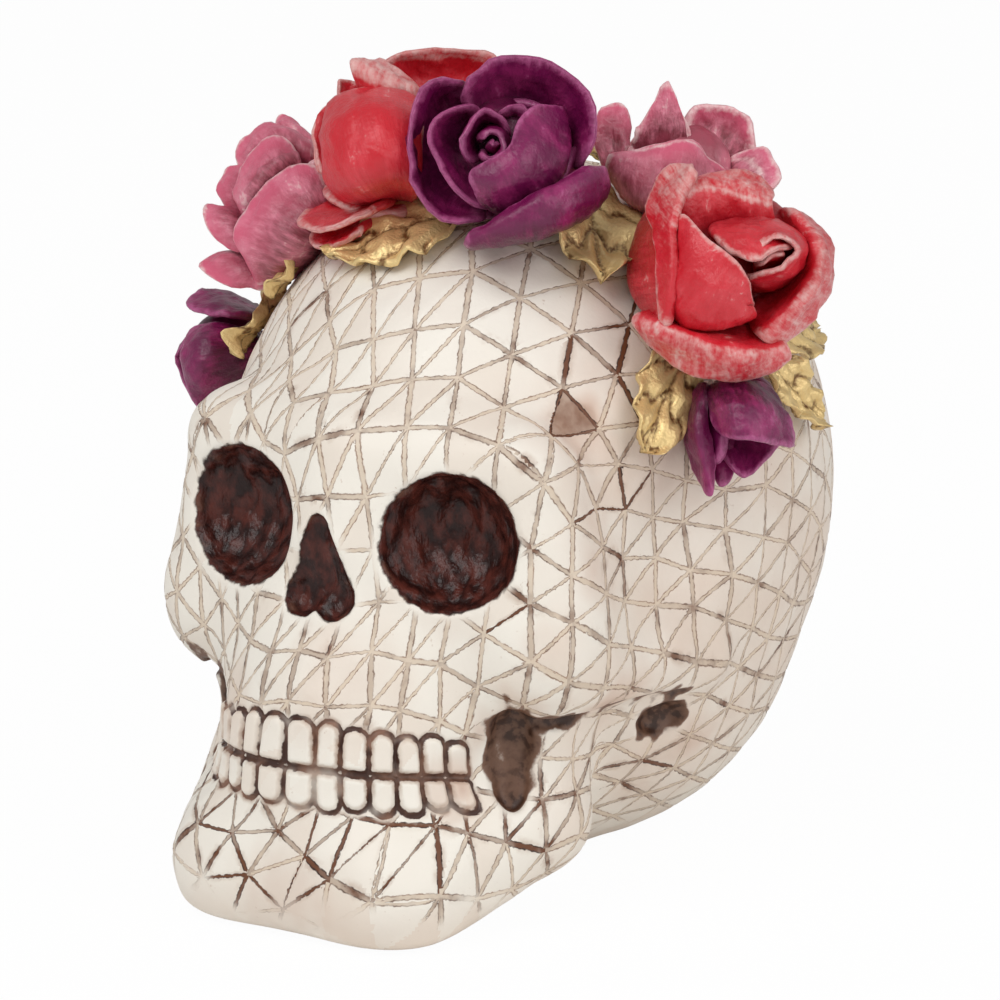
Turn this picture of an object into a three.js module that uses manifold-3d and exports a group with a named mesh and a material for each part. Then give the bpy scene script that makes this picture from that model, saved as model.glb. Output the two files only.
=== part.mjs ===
// Day of the Dead skull ornament: a cast resin skull with a garland of cast roses and leaves glued on.
// Millimetres, +Z up. The skull faces -Y, +X is its own left, and the origin lies on its flat base.
import * as THREE from "three";
import { mergeVertices } from "three/addons/utils/BufferGeometryUtils.js";
import Module from "manifold-3d";

const wasm = await Module();
wasm.setup();

// Fits between the castings
const GLUE_GAP = 0.3; // bed of glue under a rose or a leaf
const BLOOM_GAP = 0.35; // least way between one bloom and the next

// Cranium, and the nape that carries it down to the base
const CRANIUM_WIDTH = 104;
const CRANIUM_LENGTH = 126;
const CRANIUM_HEIGHT = 120;
const CRANIUM_MIDDLE = [0, 11, 62];
const NAPE_HALF = [41, 44, 32];
const NAPE_MIDDLE = [0, 14, 30];
const TEMPLE_DIP_HALF = [10, 14, 16];
const TEMPLE_DIP_MIDDLE = [52, -20, 66];
const TEMPLE_BLEND = 8;

// Eye sockets: round shallow bowls, with the brow over them and a rim outside them.
// A sink is how deep the middle of a hollow lies under the skin it opens through.
const SOCKET_SPACING = 45.4;
const SOCKET_HEIGHT = 68;
const SOCKET_SINK = -6.7;
const SOCKET_HALF = [14.6, 14.1, 13.9];
const BROW_RADIUS = 5;
const BROW_RISE = 12; // middle of the brow over the socket's
const BROW_INNER = [10, -46]; // X and Y of the brow's ends
const BROW_OUTER = [29, -42.5];
const RIM_RADIUS = 5;
const RIM_TOP = [9.3, -38.5, 7]; // the rim's ends: X and Z off the socket's middle, and Y
const RIM_FOOT = [11.3, -39.5, -13];

// Face, from the nasal bridge down to the upper gum
const FACE_HALF = [41, 21.5, 30];
const FACE_MIDDLE = [0, -34, 52];
const BRIDGE_TOP = [0, -50, 80];
const BRIDGE_TIP = [0, -57, 69.5];
const BRIDGE_RADII = [6, 4.5];
const NOSE_TOP = [0.7, 70.2]; // ends of the left half of the nose, a drop: X and Z
const NOSE_FOOT = [4, 57.6];
const NOSE_SINKS = [2.7, -0.4];
const NOSE_RADII = [1.5, 4.2];
const CHEEKBONE_HALF = [11, 11.5, 11];
const CHEEKBONE_MIDDLE = [32.5, -37, 47.5];
const ARCH_FRONT = [37, -33, 43.5];
const ARCH_BACK = [43, -5, 41];
const ARCH_RADIUS = 6;
const EAR_HOLE_HALF = [6, 6.5, 4];
const EAR_HOLE_PLACE = [-13, 30]; // Y and Z
const EAR_HOLE_SINK = -3.2;

// Jaws, shut, with the hollow of the cheek behind the last tooth
const MUZZLE_RADIUS = 23.5;
const MUZZLE_TOP = [0, -43, 34];
const MUZZLE_FOOT = [0, -44, 20];
const CHIN_HALF = [24, 13.5, 12.5];
const CHIN_MIDDLE = [0, -57.5, 9];
const JAW_FRONT = [15.5, -57, 8.5];
const JAW_CORNER = [28, -34, 17];
const JAW_RADII = [12, 10];
const RAMUS_FOOT = [29, -31.5, 18];
const RAMUS_TOP = [31, -31, 40];
const RAMUS_RADIUS = 9;
const RAMUS_FLATNESS = 0.6;
const THROAT_HALF = [27, 42, 28];
const THROAT_MIDDLE = [0, -20, 24];
const CHEEK_HOLLOW_HALF = [6, 4.4, 8.8];
const CHEEK_HOLLOW_PLACE = [-44.6, 29.3]; // Y and Z
const CHEEK_HOLLOW_SINK = -3.5;

// Teeth, from the midline to the back of each side
const TOOTH_WIDTHS = [5.6, 4.4, 4.7, 4.4, 4.4, 4.4, 4.4];
const UPPER_TOOTH_HEIGHT = 8.4;
const LOWER_TOOTH_HEIGHT = 6.8;
const TOOTH_RELIEF = 1;
const TOOTH_DEPTH = 3;
const TOOTH_SPLIT = 0.4; // groove between two teeth
const TOOTH_SQUARENESS = 0.35; // 1 is a round crown, 0 a square one
const BITE_HEIGHT = 29.9;
const BITE_DROP = 3; // fall of the bite line from the midline to the last tooth

// Roses and buds. A petal first spreads from the foot of the bloom, then cups upwards and rolls its lip out.
const PETAL_THICKNESS = 1.8;
const PETAL_TUCK = 0.1; // how far one edge of a petal lies inside the other, in shares of the bloom's radius
const PETAL_ROLL = 0.1; // how far its side edges roll outwards, likewise
const PETAL_SQUARENESS = 2.7; // power of its outline: 2 is a round one
const CUP_SPAN = [0.12, 0.75]; // where along a petal it cups, and where its lip rolls
const LIP_SPAN = [0.76, 1];
const BOSS_HALF = 0.4; // boss under the petals, in shares of the bloom's radius
const ROOM_MIDDLE = 0.45; // middle of the room a bloom takes, up its axis, likewise
const ROOM_FLATNESS = 0.72; // height of that room over its breadth
const ROOM_GROWTH = 1.04; // so that the room's facets clear the petals

// Bearings of a bloom's seat, seen from the garland's middle, and of the way it faces. A bearing is an
// azimuth from straight ahead towards the skull's left and an elevation, in degrees. lift is the foot's
// height over the skull. Each petal has its turn round the axis, how far it wraps to either side, its foot
// and length in shares of the bloom's radius, its angle from the axis at the foot and once it has cupped,
// and the angle its lip rolls through.
const GARLAND_MIDDLE = [0, 8, 66];
const PURPLE = "#6d1d60";
const RED = "#c4303a";
const PINK = "#dd8794";
const BLOOMS = [
  {
    name: "front_purple_rose",
    colour: PURPLE,
    radius: 18,
    seat: [32, 69],
    facing: [14, 28],
    lift: 6,
    petals: [
      [40, 160, 0.02, 0.5, 60, -10, 0],
      [150, 110, 0.04, 0.72, 80, -12, 8],
      [40, 70, 0.08, 0.78, 80, -8, 8],
      [-42, 92, 0.08, 1.35, 88, -36, 18],
      [190, 64, 0.12, 1.0, 86, 8, 24],
      [60, 82, 0.16, 1.2, 86, 12, 30],
      [186, 62, 0.18, 1.18, 86, 22, 18],
      [-52, 72, 0.24, 1.3, 88, -10, 30],
    ],
  },
  {
    name: "left_red_rose",
    colour: RED,
    radius: 19.5,
    seat: [86, 47],
    facing: [56, 32],
    lift: 1,
    petals: [
      [100, 130, 0.03, 0.62, 70, -8, 4],
      [-60, 110, 0.06, 0.74, 76, -6, 10],
      [208, 84, 0.1, 1.2, 88, -30, 12],
      [82, 78, 0.12, 1.0, 84, 4, 42],
      [-25, 66, 0.12, 1.0, 84, 10, 40],
      [158, 54, 0.16, 1.25, 86, 6, 100],
      [262, 68, 0.2, 1.12, 84, 46, 44],
      [-20, 62, 0.18, 1.08, 86, 50, 36],
      [72, 58, 0.18, 1.08, 86, 44, 60],
    ],
  },
  {
    name: "right_red_rose",
    colour: RED,
    radius: 19,
    seat: [-30, 70],
    facing: [-22, 74],
    lift: 1.5,
    petals: [
      [0, 150, 0.03, 0.7, 70, -10, 0],
      [180, 110, 0.06, 0.8, 76, -6, 4],
      [-50, 84, 0.14, 1.4, 88, -22, 6],
      [-150, 66, 0.16, 1.3, 86, -4, 34],
      [90, 80, 0.14, 1.4, 86, -6, 36],
      [-105, 58, 0.28, 1.0, 88, 80, 34],
      [165, 56, 0.22, 1.2, 86, 34, 44],
    ],
  },
  {
    name: "right_pink_rose",
    colour: PINK,
    radius: 18,
    seat: [-74, 50],
    facing: [-66, 44],
    lift: 4,
    petals: [
      [20, 115, 0.03, 0.8, 74, -12, 0],
      [200, 112, 0.06, 0.95, 78, -10, 6],
      [60, 76, 0.12, 1.3, 86, -18, 24],
      [180, 76, 0.12, 1.3, 86, -16, 24],
      [300, 76, 0.12, 1.25, 86, -14, 24],
      [-20, 56, 0.2, 1.15, 86, 22, 44],
      [50, 50, 0.2, 1.15, 86, 22, 44],
      [120, 50, 0.2, 1.15, 86, 30, 44],
      [200, 54, 0.2, 1.2, 86, 40, 44],
      [275, 54, 0.2, 1.2, 86, 40, 44],
    ],
  },
  {
    name: "left_pink_rose",
    colour: PINK,
    radius: 16.5,
    seat: [108, 62],
    facing: [60, 60],
    lift: 0.5,
    petals: [
      [60, 115, 0.03, 0.7, 70, -8, 0],
      [230, 112, 0.06, 0.8, 76, -6, 4],
      [90, 38, 0.1, 1.6, 80, -10, 24],
      [228, 84, 0.14, 1.25, 88, -14, 26],
      [340, 70, 0.12, 1.15, 86, 0, 30],
      [15, 60, 0.16, 1.25, 86, 20, 44],
      [-45, 56, 0.2, 1.0, 88, 60, 60],
      [160, 50, 0.18, 1.3, 86, 6, 30],
      [270, 60, 0.2, 1.05, 88, 50, 40],
    ],
  },
  {
    name: "left_purple_bud",
    colour: PURPLE,
    radius: 10.5,
    seat: [74, 23],
    facing: [52, -62],
    lift: 5,
    petals: [
      [0, 105, 0.1, 1.3, 50, -6, 0],
      [180, 105, 0.12, 1.35, 50, -6, 0],
      [70, 85, 0.14, 1.6, 52, 2, 30],
      [190, 60, 0.14, 1.9, 50, 0, 24],
      [290, 80, 0.14, 1.65, 52, 4, 30],
    ],
  },
  {
    name: "right_purple_bud",
    colour: PURPLE,
    radius: 11.5,
    seat: [-84, 21],
    facing: [-68, -62],
    lift: 5,
    petals: [
      [0, 105, 0.1, 1.3, 50, -6, 0],
      [180, 105, 0.12, 1.35, 50, -6, 0],
      [50, 85, 0.14, 1.6, 52, 2, 30],
      [170, 60, 0.14, 1.8, 50, 4, 26],
      [290, 80, 0.14, 1.65, 52, 6, 30],
    ],
  },
];

// Leaves lie on the skull from the bearing of their foot to the bearing of their tip.
const LEAF_THICKNESS = 1.2;
const LEAF_ROOM = 0.9; // how far the room a leaf takes stands out round it
const LEAF_CURL = 1.2; // rise of a leaf's tip over its foot, and of its edges over its midrib
const LEAF_TAPER = [1.15, 0.6]; // its breadth at foot and tip, in shares of its width
const LEAVES = [
  { name: "front_leaf_1", foot: [10, 61], tip: [-21, 47], width: 14 },
  { name: "front_leaf_2", foot: [66, 71], tip: [50, 46], width: 17 },
  { name: "front_leaf_3", foot: [68, 32], tip: [52, 15], width: 11 },
  { name: "front_leaf_4", foot: [-58, 56], tip: [-44, 36], width: 12 },
  { name: "front_leaf_5", foot: [-76, 34], tip: [-58, 22], width: 10 },
  { name: "back_leaf_1", foot: [98, 32], tip: [128, 25], width: 13 },
  { name: "back_leaf_2", foot: [92, 28], tip: [106, 11], width: 11 },
  { name: "back_leaf_3", foot: [122, 50], tip: [148, 42], width: 12 },
  { name: "back_leaf_4", foot: [-150, 82], tip: [178, 60], width: 13 },
  { name: "back_leaf_5", foot: [-100, 68], tip: [-138, 56], width: 13 },
  { name: "back_leaf_6", foot: [-98, 36], tip: [-126, 28], width: 12 },
];

// Fineness of the facets. The skin's rays start near the face, so its facets are finer there.
const SKIN_DETAIL = 10;
const SKIN_MIDDLE = [0, -26, 47];
const BOWL_SIDES = 16;
const BOWL_RINGS = 10;
const PETAL_ARC = 20; // degrees of wrap for each pair of a petal's sides
const LEAST_PETAL_SIDES = 6;
const PETAL_RINGS = 5;
const PROFILE_STEPS = 60;
const BOSS_RINGS = 2;
const BOSS_SIDES = 8;
const LEAF_SIDES = 6;
const LEAF_RINGS = 6;
const TOOTH_SIDES = 4;
const TOOTH_RINGS = 4;

// The skin's swellings (ellipsoids) and ridges (rounded bars) on the left side, mirrored to the right. blend
// is how far each one runs softly into those before it.
const browHeight = SOCKET_HEIGHT + BROW_RISE;
const socketAside = SOCKET_SPACING / 2;
const SKIN = [
  { middle: CRANIUM_MIDDLE, half: [CRANIUM_WIDTH / 2, CRANIUM_LENGTH / 2, CRANIUM_HEIGHT / 2], blend: 0.01 },
  { middle: NAPE_MIDDLE, half: NAPE_HALF, blend: 10 },
  {
    from: [...BROW_INNER, browHeight],
    to: [...BROW_OUTER, browHeight],
    radii: [BROW_RADIUS, BROW_RADIUS],
    blend: 12,
  },
  {
    from: [socketAside + RIM_TOP[0], RIM_TOP[1], SOCKET_HEIGHT + RIM_TOP[2]],
    to: [socketAside + RIM_FOOT[0], RIM_FOOT[1], SOCKET_HEIGHT + RIM_FOOT[2]],
    radii: [RIM_RADIUS, RIM_RADIUS],
    blend: 9,
  },
  { middle: FACE_MIDDLE, half: FACE_HALF, blend: 10 },
  { from: MUZZLE_FOOT, to: MUZZLE_TOP, radii: [MUZZLE_RADIUS, MUZZLE_RADIUS], blend: 8 },
  { from: BRIDGE_TOP, to: BRIDGE_TIP, radii: BRIDGE_RADII, blend: 8 },
  { middle: CHEEKBONE_MIDDLE, half: CHEEKBONE_HALF, blend: 7 },
  { from: ARCH_FRONT, to: ARCH_BACK, radii: [ARCH_RADIUS, ARCH_RADIUS], blend: 6 },
  { middle: CHIN_MIDDLE, half: CHIN_HALF, blend: 6 },
  { from: JAW_FRONT, to: JAW_CORNER, radii: JAW_RADII, blend: 8 },
  {
    from: RAMUS_FOOT,
    to: RAMUS_TOP,
    radii: [RAMUS_RADIUS, RAMUS_RADIUS],
    flatness: RAMUS_FLATNESS,
    blend: 5,
  },
  { middle: THROAT_MIDDLE, half: THROAT_HALF, blend: 8 },
];

// Distance to an ellipsoid, below zero inside it.
function ellipsoid(point, middle, half) {
  const share = point.map((value, i) => (value - middle[i]) / half[i]);
  const size = Math.hypot(...share);
  const slope = Math.hypot(...share.map((value, i) => value / half[i]));
  return (size * (size - 1)) / Math.max(slope, 1e-6);
}

// Distance to a rounded bar whose radius runs from one end's to the other's, flattened across X.
function bar(point, from, to, radii, flatness = 1) {
  const squeeze = (p) => new THREE.Vector3(p[0] / flatness, p[1], p[2]);
  const start = squeeze(from);
  const run = squeeze(to).sub(start);
  const way = squeeze(point).sub(start);
  const share = THREE.MathUtils.clamp(way.dot(run) / run.lengthSq(), 0, 1);
  return way.addScaledVector(run, -share).length() - THREE.MathUtils.lerp(radii[0], radii[1], share);
}

// Least of two distances, rounded where they are within the blend of each other.
function join(a, b, blend) {
  const overlap = Math.max(blend - Math.abs(a - b), 0);
  return Math.min(a, b) - (overlap * overlap) / (4 * blend);
}

// Distance to the skull's skin, before sockets, holes and teeth.
function skin(x, y, z) {
  const point = [Math.hypot(x, 1), y, z];
  const formed = SKIN.reduce((distance, part) => {
    const next = part.half
      ? ellipsoid(point, part.middle, part.half)
      : bar(point, part.from, part.to, part.radii, part.flatness);
    return join(distance, next, part.blend);
  }, Infinity);
  return -join(-formed, ellipsoid(point, TEMPLE_DIP_MIDDLE, TEMPLE_DIP_HALF), TEMPLE_BLEND);
}

// Where a ray from a point inside the skull leaves it, or leaves the surface a given height over its skin:
// it is followed inwards from far outside, a share of the distance left at a time, then halved to the skin.
const RAY_SHARE = 0.6;
const RAY_STEP = 0.1; // least step
const RAY_HALVINGS = 18;
function onSkin(origin, direction, height = 0) {
  const ray = new THREE.Vector3(...direction).normalize();
  const at = (way) => new THREE.Vector3(...origin).addScaledVector(ray, way);
  const over = (way) => skin(...at(way).toArray()) - height;
  let outside = CRANIUM_LENGTH + CRANIUM_HEIGHT;
  let inside = outside;
  for (let gap = over(inside); gap > 0; gap = over(inside)) {
    outside = inside;
    inside -= Math.max(RAY_SHARE * gap, RAY_STEP);
  }
  for (let halving = 0; halving < RAY_HALVINGS; halving++) {
    const middle = (inside + outside) / 2;
    if (over(middle) > 0) outside = middle;
    else inside = middle;
  }
  return at(outside);
}

// Way the skin faces at a point.
function skinNormal({ x, y, z }) {
  const step = 0.05;
  return new THREE.Vector3(
    skin(x + step, y, z) - skin(x - step, y, z),
    skin(x, y + step, z) - skin(x, y - step, z),
    skin(x, y, z + step) - skin(x, y, z - step),
  ).normalize();
}

// Unit vector of a bearing.
function bearing([azimuth, elevation]) {
  const turn = THREE.MathUtils.degToRad(azimuth);
  const rise = THREE.MathUtils.degToRad(elevation);
  const level = Math.cos(rise);
  return new THREE.Vector3(Math.sin(turn) * level, -Math.cos(turn) * level, Math.sin(rise));
}

// A geometry with each of its corners once, so that its faces close up.
const WELD = 1e-4;
function weld(geometry) {
  geometry.deleteAttribute("normal");
  geometry.deleteAttribute("uv");
  return mergeVertices(geometry, WELD);
}

// Moves every corner of a geometry to where `to` takes it.
function bend(geometry, to) {
  const bent = weld(geometry);
  const corners = bent.getAttribute("position");
  const corner = new THREE.Vector3();
  for (let i = 0; i < corners.count; i++) {
    corner.fromBufferAttribute(corners, i);
    corners.setXYZ(i, ...to(corner).toArray());
  }
  return bent;
}

// Closed geometry to a solid that can be joined and cut, and back.
function solid(geometry) {
  const closed = weld(geometry);
  const vertProperties = closed.getAttribute("position").array;
  return new wasm.Manifold(
    new wasm.Mesh({ numProp: 3, vertProperties, triVerts: new Uint32Array(closed.index.array) }),
  );
}

function geometryOf(shape) {
  const { vertProperties, triVerts } = shape.getMesh();
  return new THREE.BufferGeometry()
    .setAttribute("position", new THREE.BufferAttribute(vertProperties, 3))
    .setIndex(new THREE.BufferAttribute(triVerts, 1));
}

// The largest body of a shape: a crumb that a trim cuts loose is left off.
function mainBody(shape) {
  return shape.decompose().reduce((best, body) => (body.volume() > best.volume() ? body : best));
}

// A shape less the room that earlier pieces hold.
function trim(shape, taken) {
  return taken.reduce((body, { room }) => body.subtract(room), shape);
}

// Thickness of a flattened ball, nearly even out to its rim.
function flatten(value) {
  return Math.sign(value) * Math.sqrt(Math.abs(value));
}

// Ellipsoid as a solid.
function bowl(middle, half) {
  return solid(new THREE.SphereGeometry(1, BOWL_SIDES, BOWL_RINGS).scale(...half).translate(...middle));
}

// A feature of the left side and its twin on the right.
function pair(middle, half) {
  return bowl(middle, half).add(bowl([-middle[0], middle[1], middle[2]], half));
}

// The skin as a closed shell, a given height over the casting's: each corner of a geodesic ball slides along
// its ray until it meets that height.
function shell(height) {
  const ball = new THREE.IcosahedronGeometry(1, SKIN_DETAIL);
  return solid(bend(ball, (corner) => onSkin(SKIN_MIDDLE, corner.toArray(), height)));
}

// The point sunk a given way under the skin that lies in a direction from a point inside.
const AHEAD = [0, -1, 0];
const ASIDE = [1, 0, 0];
function underSkin(inside, direction, sink) {
  return onSkin(inside, direction).addScaledVector(new THREE.Vector3(...direction), -sink);
}

// A pair of hollows that open through the skin.
function hollows(inside, direction, sink, half) {
  return pair(underSkin(inside, direction, sink).toArray(), half);
}

// The nose: two drops that meet at the top, each a ball drawn out from one radius to another.
function nose() {
  const ends = [NOSE_TOP, NOSE_FOOT].map(([x, z], i) => underSkin([x, 0, z], AHEAD, NOSE_SINKS[i]));
  const down = ends[1].clone().sub(ends[0]).normalize();
  const turn = new THREE.Quaternion().setFromUnitVectors(new THREE.Vector3(0, -1, 0), down);
  const half = bend(new THREE.SphereGeometry(1, BOWL_SIDES, BOWL_RINGS), (corner) => {
    const end = corner.y < -WELD ? 1 : 0;
    return corner.clone().applyQuaternion(turn).multiplyScalar(NOSE_RADII[end]).add(ends[end]);
  });
  const left = solid(half);
  return left.add(left.mirror(ASIDE));
}

// Point of the dental arch a given way round from the midline.
function archPoint(distance, height) {
  const middle = [0, MUZZLE_FOOT[1], height];
  let last = onSkin(middle, bearing([0, 0]).toArray());
  let walked = 0;
  for (let azimuth = 1; walked < distance; azimuth++) {
    const next = onSkin(middle, bearing([azimuth, 0]).toArray());
    const stride = next.distanceTo(last);
    if (walked + stride >= distance) return last.lerp(next, (distance - walked) / stride);
    walked += stride;
    last = next;
  }
  return last;
}

// One tooth: a ball squared off to a block with round corners, set into the arch with its crown proud.
function tooth(distance, width, height, middleHeight, side) {
  const seat = archPoint(distance, middleHeight);
  const out = skinNormal(seat);
  const along = new THREE.Vector3(0, 0, 1).cross(out).normalize();
  const up = out.clone().cross(along);
  const sunk = seat.clone().addScaledVector(out, TOOTH_RELIEF - TOOTH_DEPTH);
  const square = (value) => Math.sign(value) * Math.abs(value) ** TOOTH_SQUARENESS;
  const block = new THREE.SphereGeometry(1, TOOTH_SIDES, TOOTH_RINGS).rotateY(Math.PI / TOOTH_SIDES);
  const crown = bend(block, ({ x, y, z }) =>
    sunk
      .clone()
      .addScaledVector(along, (square(x) * (width - TOOTH_SPLIT)) / 2)
      .addScaledVector(up, (square(y) * (height - TOOTH_SPLIT)) / 2)
      .addScaledVector(out, square(z) * TOOTH_DEPTH),
  );
  const made = solid(crown);
  return side > 0 ? made : made.mirror(ASIDE);
}

function teeth() {
  const row = TOOTH_WIDTHS.reduce((sum, width) => sum + width, 0);
  const crowns = [];
  let walked = 0;
  for (const width of TOOTH_WIDTHS) {
    const middle = walked + width / 2;
    const bite = BITE_HEIGHT - BITE_DROP * (middle / row) ** 2;
    for (const side of [1, -1]) {
      crowns.push(tooth(middle, width, UPPER_TOOTH_HEIGHT, bite + UPPER_TOOTH_HEIGHT / 2, side));
      crowns.push(tooth(middle, width, LOWER_TOOTH_HEIGHT, bite - LOWER_TOOTH_HEIGHT / 2, side));
    }
    walked += width;
  }
  return crowns;
}

// Skull casting: the shell cut flat at its base, with its holes carved and its teeth raised.
function skull(outside) {
  const room = 2 * (CRANIUM_LENGTH + CRANIUM_HEIGHT);
  const above = solid(new THREE.BoxGeometry(room, room, room).translate(0, 0, room / 2));
  const holes = [
    hollows([socketAside, 0, SOCKET_HEIGHT], AHEAD, SOCKET_SINK, SOCKET_HALF),
    nose(),
    hollows([0, ...CHEEK_HOLLOW_PLACE], ASIDE, CHEEK_HOLLOW_SINK, CHEEK_HOLLOW_HALF),
    hollows([0, ...EAR_HOLE_PLACE], ASIDE, EAR_HOLE_SINK, EAR_HOLE_HALF),
  ];
  const carved = holes.reduce((body, hole) => body.subtract(hole), outside.intersect(above));
  return mainBody(teeth().reduce((body, crown) => body.add(crown), carved));
}

// How far out and up each step along a petal lies, and its angle from the axis there.
function petalProfile(radius, foot, length, inner, outer, lip) {
  const stride = (length * radius) / PROFILE_STEPS;
  const profile = [];
  let out = foot * radius;
  let up = 0;
  for (let i = 0; i <= PROFILE_STEPS; i++) {
    const share = i / PROFILE_STEPS;
    const cupped = THREE.MathUtils.smoothstep(share, ...CUP_SPAN);
    const rolled = THREE.MathUtils.smoothstep(share, ...LIP_SPAN);
    const angle = THREE.MathUtils.degToRad(THREE.MathUtils.lerp(inner, outer, cupped) + lip * rolled);
    profile.push({ out, up, angle });
    out += Math.sin(angle) * stride;
    up += Math.cos(angle) * stride;
  }
  return profile;
}

// One petal on an upright bloom: a flattened ball with a squarish outline, bent along its profile and round
// the axis, one edge inside the next.
function petal(radius, [turn, halfTurn, ...shape]) {
  const profile = petalProfile(radius, ...shape);
  const sides = Math.max(LEAST_PETAL_SIDES, 2 * Math.round(halfTurn / PETAL_ARC));
  return bend(new THREE.SphereGeometry(1, sides, PETAL_RINGS), ({ x, y, z: through }) => {
    const sum = Math.abs(x) ** PETAL_SQUARENESS + Math.abs(y) ** PETAL_SQUARENESS;
    const swell = sum > 0 ? Math.hypot(x, y) / sum ** (1 / PETAL_SQUARENESS) : 1;
    const across = x * swell;
    const share = (y * swell + 1) / 2;
    const { out, up, angle } = profile[Math.round(THREE.MathUtils.clamp(share, 0, 1) * PROFILE_STEPS)];
    const edge = (across * PETAL_TUCK + across ** 4 * PETAL_ROLL) * radius * share;
    const depth = (flatten(through) * PETAL_THICKNESS) / 2 + edge;
    const away = out + depth * Math.cos(angle);
    const around = THREE.MathUtils.degToRad(turn + across * halfTurn);
    return new THREE.Vector3(away * Math.cos(around), away * Math.sin(around), up - depth * Math.sin(angle));
  });
}

// The room a bloom takes: a flattened ball round all its petals.
function roomRound(petals, radius) {
  const middle = ROOM_MIDDLE * radius;
  let reach = 0;
  for (const part of petals) {
    const corners = part.getAttribute("position");
    for (let i = 0; i < corners.count; i++) {
      const rise = (corners.getZ(i) - middle) / ROOM_FLATNESS;
      reach = Math.max(reach, Math.hypot(corners.getX(i), corners.getY(i), rise));
    }
  }
  const half = reach * ROOM_GROWTH + BLOOM_GAP;
  return bowl([0, 0, middle], [half, half, half * ROOM_FLATNESS]);
}

// A bloom on the skull: boss and petals in one casting, its underside fitted to the skull with the glue bed
// between, and trimmed where a leaf or an earlier bloom holds the room.
function bloom({ radius, seat, facing, lift, petals }, glued, taken) {
  const root = onSkin(GARLAND_MIDDLE, bearing(seat).toArray());
  const foot = root.clone().addScaledVector(skinNormal(root), lift);
  const pose = new THREE.Matrix4()
    .lookAt(bearing(facing), new THREE.Vector3(), new THREE.Vector3(0, 0, 1))
    .setPosition(foot)
    .toArray();
  const parts = petals.map((form) => petal(radius, form));
  const upright = parts.map(solid).reduce((body, part) => body.add(part));
  const stem = foot.clone().sub(root);
  const boss = new THREE.CapsuleGeometry(BOSS_HALF * radius, stem.length(), BOSS_RINGS, BOSS_SIDES)
    .applyQuaternion(new THREE.Quaternion().setFromUnitVectors(new THREE.Vector3(0, 1, 0), stem.normalize()))
    .translate(...root.add(foot).multiplyScalar(0.5).toArray());
  const whole = upright.transform(pose).add(solid(boss)).subtract(glued);
  return { shape: mainBody(trim(whole, taken)), room: roomRound(parts, radius).transform(pose) };
}

// The blade of a leaf laid on the skull from its foot to its tip: a flattened ball, its midrib lowest and its
// edges curling up, grown all round by a clearance.
function blade({ foot, tip, width }, grown) {
  const start = onSkin(GARLAND_MIDDLE, bearing(foot).toArray());
  const run = onSkin(GARLAND_MIDDLE, bearing(tip).toArray()).sub(start);
  const side = run.clone().cross(skinNormal(start)).normalize();
  const centre = new THREE.Vector3(...GARLAND_MIDDLE);
  const longer = grown / run.length();
  const wider = (2 * grown) / width;
  const shape = bend(new THREE.SphereGeometry(1, LEAF_SIDES, LEAF_RINGS), ({ x, y, z: through }) => {
    const along = (y + 1) / 2 + y * longer;
    const across = x * (1 + wider);
    const breadth = (width / 2) * THREE.MathUtils.lerp(...LEAF_TAPER, along);
    const spot = start
      .clone()
      .addScaledVector(run, along)
      .addScaledVector(side, across * breadth);
    const curl = LEAF_CURL * (along * along + across * across);
    const offset = flatten(through) * (LEAF_THICKNESS / 2 + grown);
    const height = GLUE_GAP + curl + LEAF_THICKNESS / 2 + offset;
    return onSkin(GARLAND_MIDDLE, spot.sub(centre).toArray(), height);
  });
  return solid(shape);
}

// A leaf, trimmed where an earlier leaf holds the room.
function leaf(form, taken) {
  return { shape: mainBody(trim(blade(form, 0), taken)), room: blade(form, LEAF_ROOM) };
}

// Finishes
const RESIN_CREAM = { color: "#e6dfd0", roughness: 0.6, metalness: 0 };
const PAINT = { roughness: 0.55, metalness: 0 };
const GOLD_PAINT = { color: "#b59c66", roughness: 0.45, metalness: 0.3 };

const ornament = new THREE.Group();
function place(name, shape, finish) {
  const mesh = new THREE.Mesh(geometryOf(shape), new THREE.MeshStandardMaterial(finish));
  mesh.name = name;
  ornament.add(mesh);
}

place("skull", skull(shell(0)), RESIN_CREAM);
const glued = shell(GLUE_GAP);
const taken = [];
function glue(name, made, finish) {
  place(name, made.shape, finish);
  taken.push(made);
}
for (const form of LEAVES) {
  glue(form.name, leaf(form, taken), GOLD_PAINT);
}
for (const flower of BLOOMS) {
  glue(flower.name, bloom(flower, glued, taken), { color: flower.colour, ...PAINT });
}

export default ornament;
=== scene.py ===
"""Day of the Dead skull ornament: cast resin skull, roses, buds and gold leaves in a pale studio.

Shapes are worked out in millimetres in the part's own frame: +Z up, the face towards -Y, +X the skull's left.
"""

import math

import bmesh
import bpy
import numpy as np
import openvdb
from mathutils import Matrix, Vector
from mathutils.bvhtree import BVHTree


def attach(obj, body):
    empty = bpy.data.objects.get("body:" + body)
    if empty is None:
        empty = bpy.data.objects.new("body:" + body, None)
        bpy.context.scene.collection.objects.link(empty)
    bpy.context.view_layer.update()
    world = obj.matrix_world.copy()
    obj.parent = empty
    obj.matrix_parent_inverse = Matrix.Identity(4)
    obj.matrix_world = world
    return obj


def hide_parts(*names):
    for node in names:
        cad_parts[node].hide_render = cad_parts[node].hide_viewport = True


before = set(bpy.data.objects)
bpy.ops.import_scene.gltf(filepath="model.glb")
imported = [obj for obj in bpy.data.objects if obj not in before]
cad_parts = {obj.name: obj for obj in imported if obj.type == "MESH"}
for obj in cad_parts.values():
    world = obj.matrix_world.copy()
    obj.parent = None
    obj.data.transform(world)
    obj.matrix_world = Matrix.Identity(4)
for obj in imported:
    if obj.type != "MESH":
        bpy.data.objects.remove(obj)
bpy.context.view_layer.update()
MM = 0.001


# Small helpers

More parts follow.
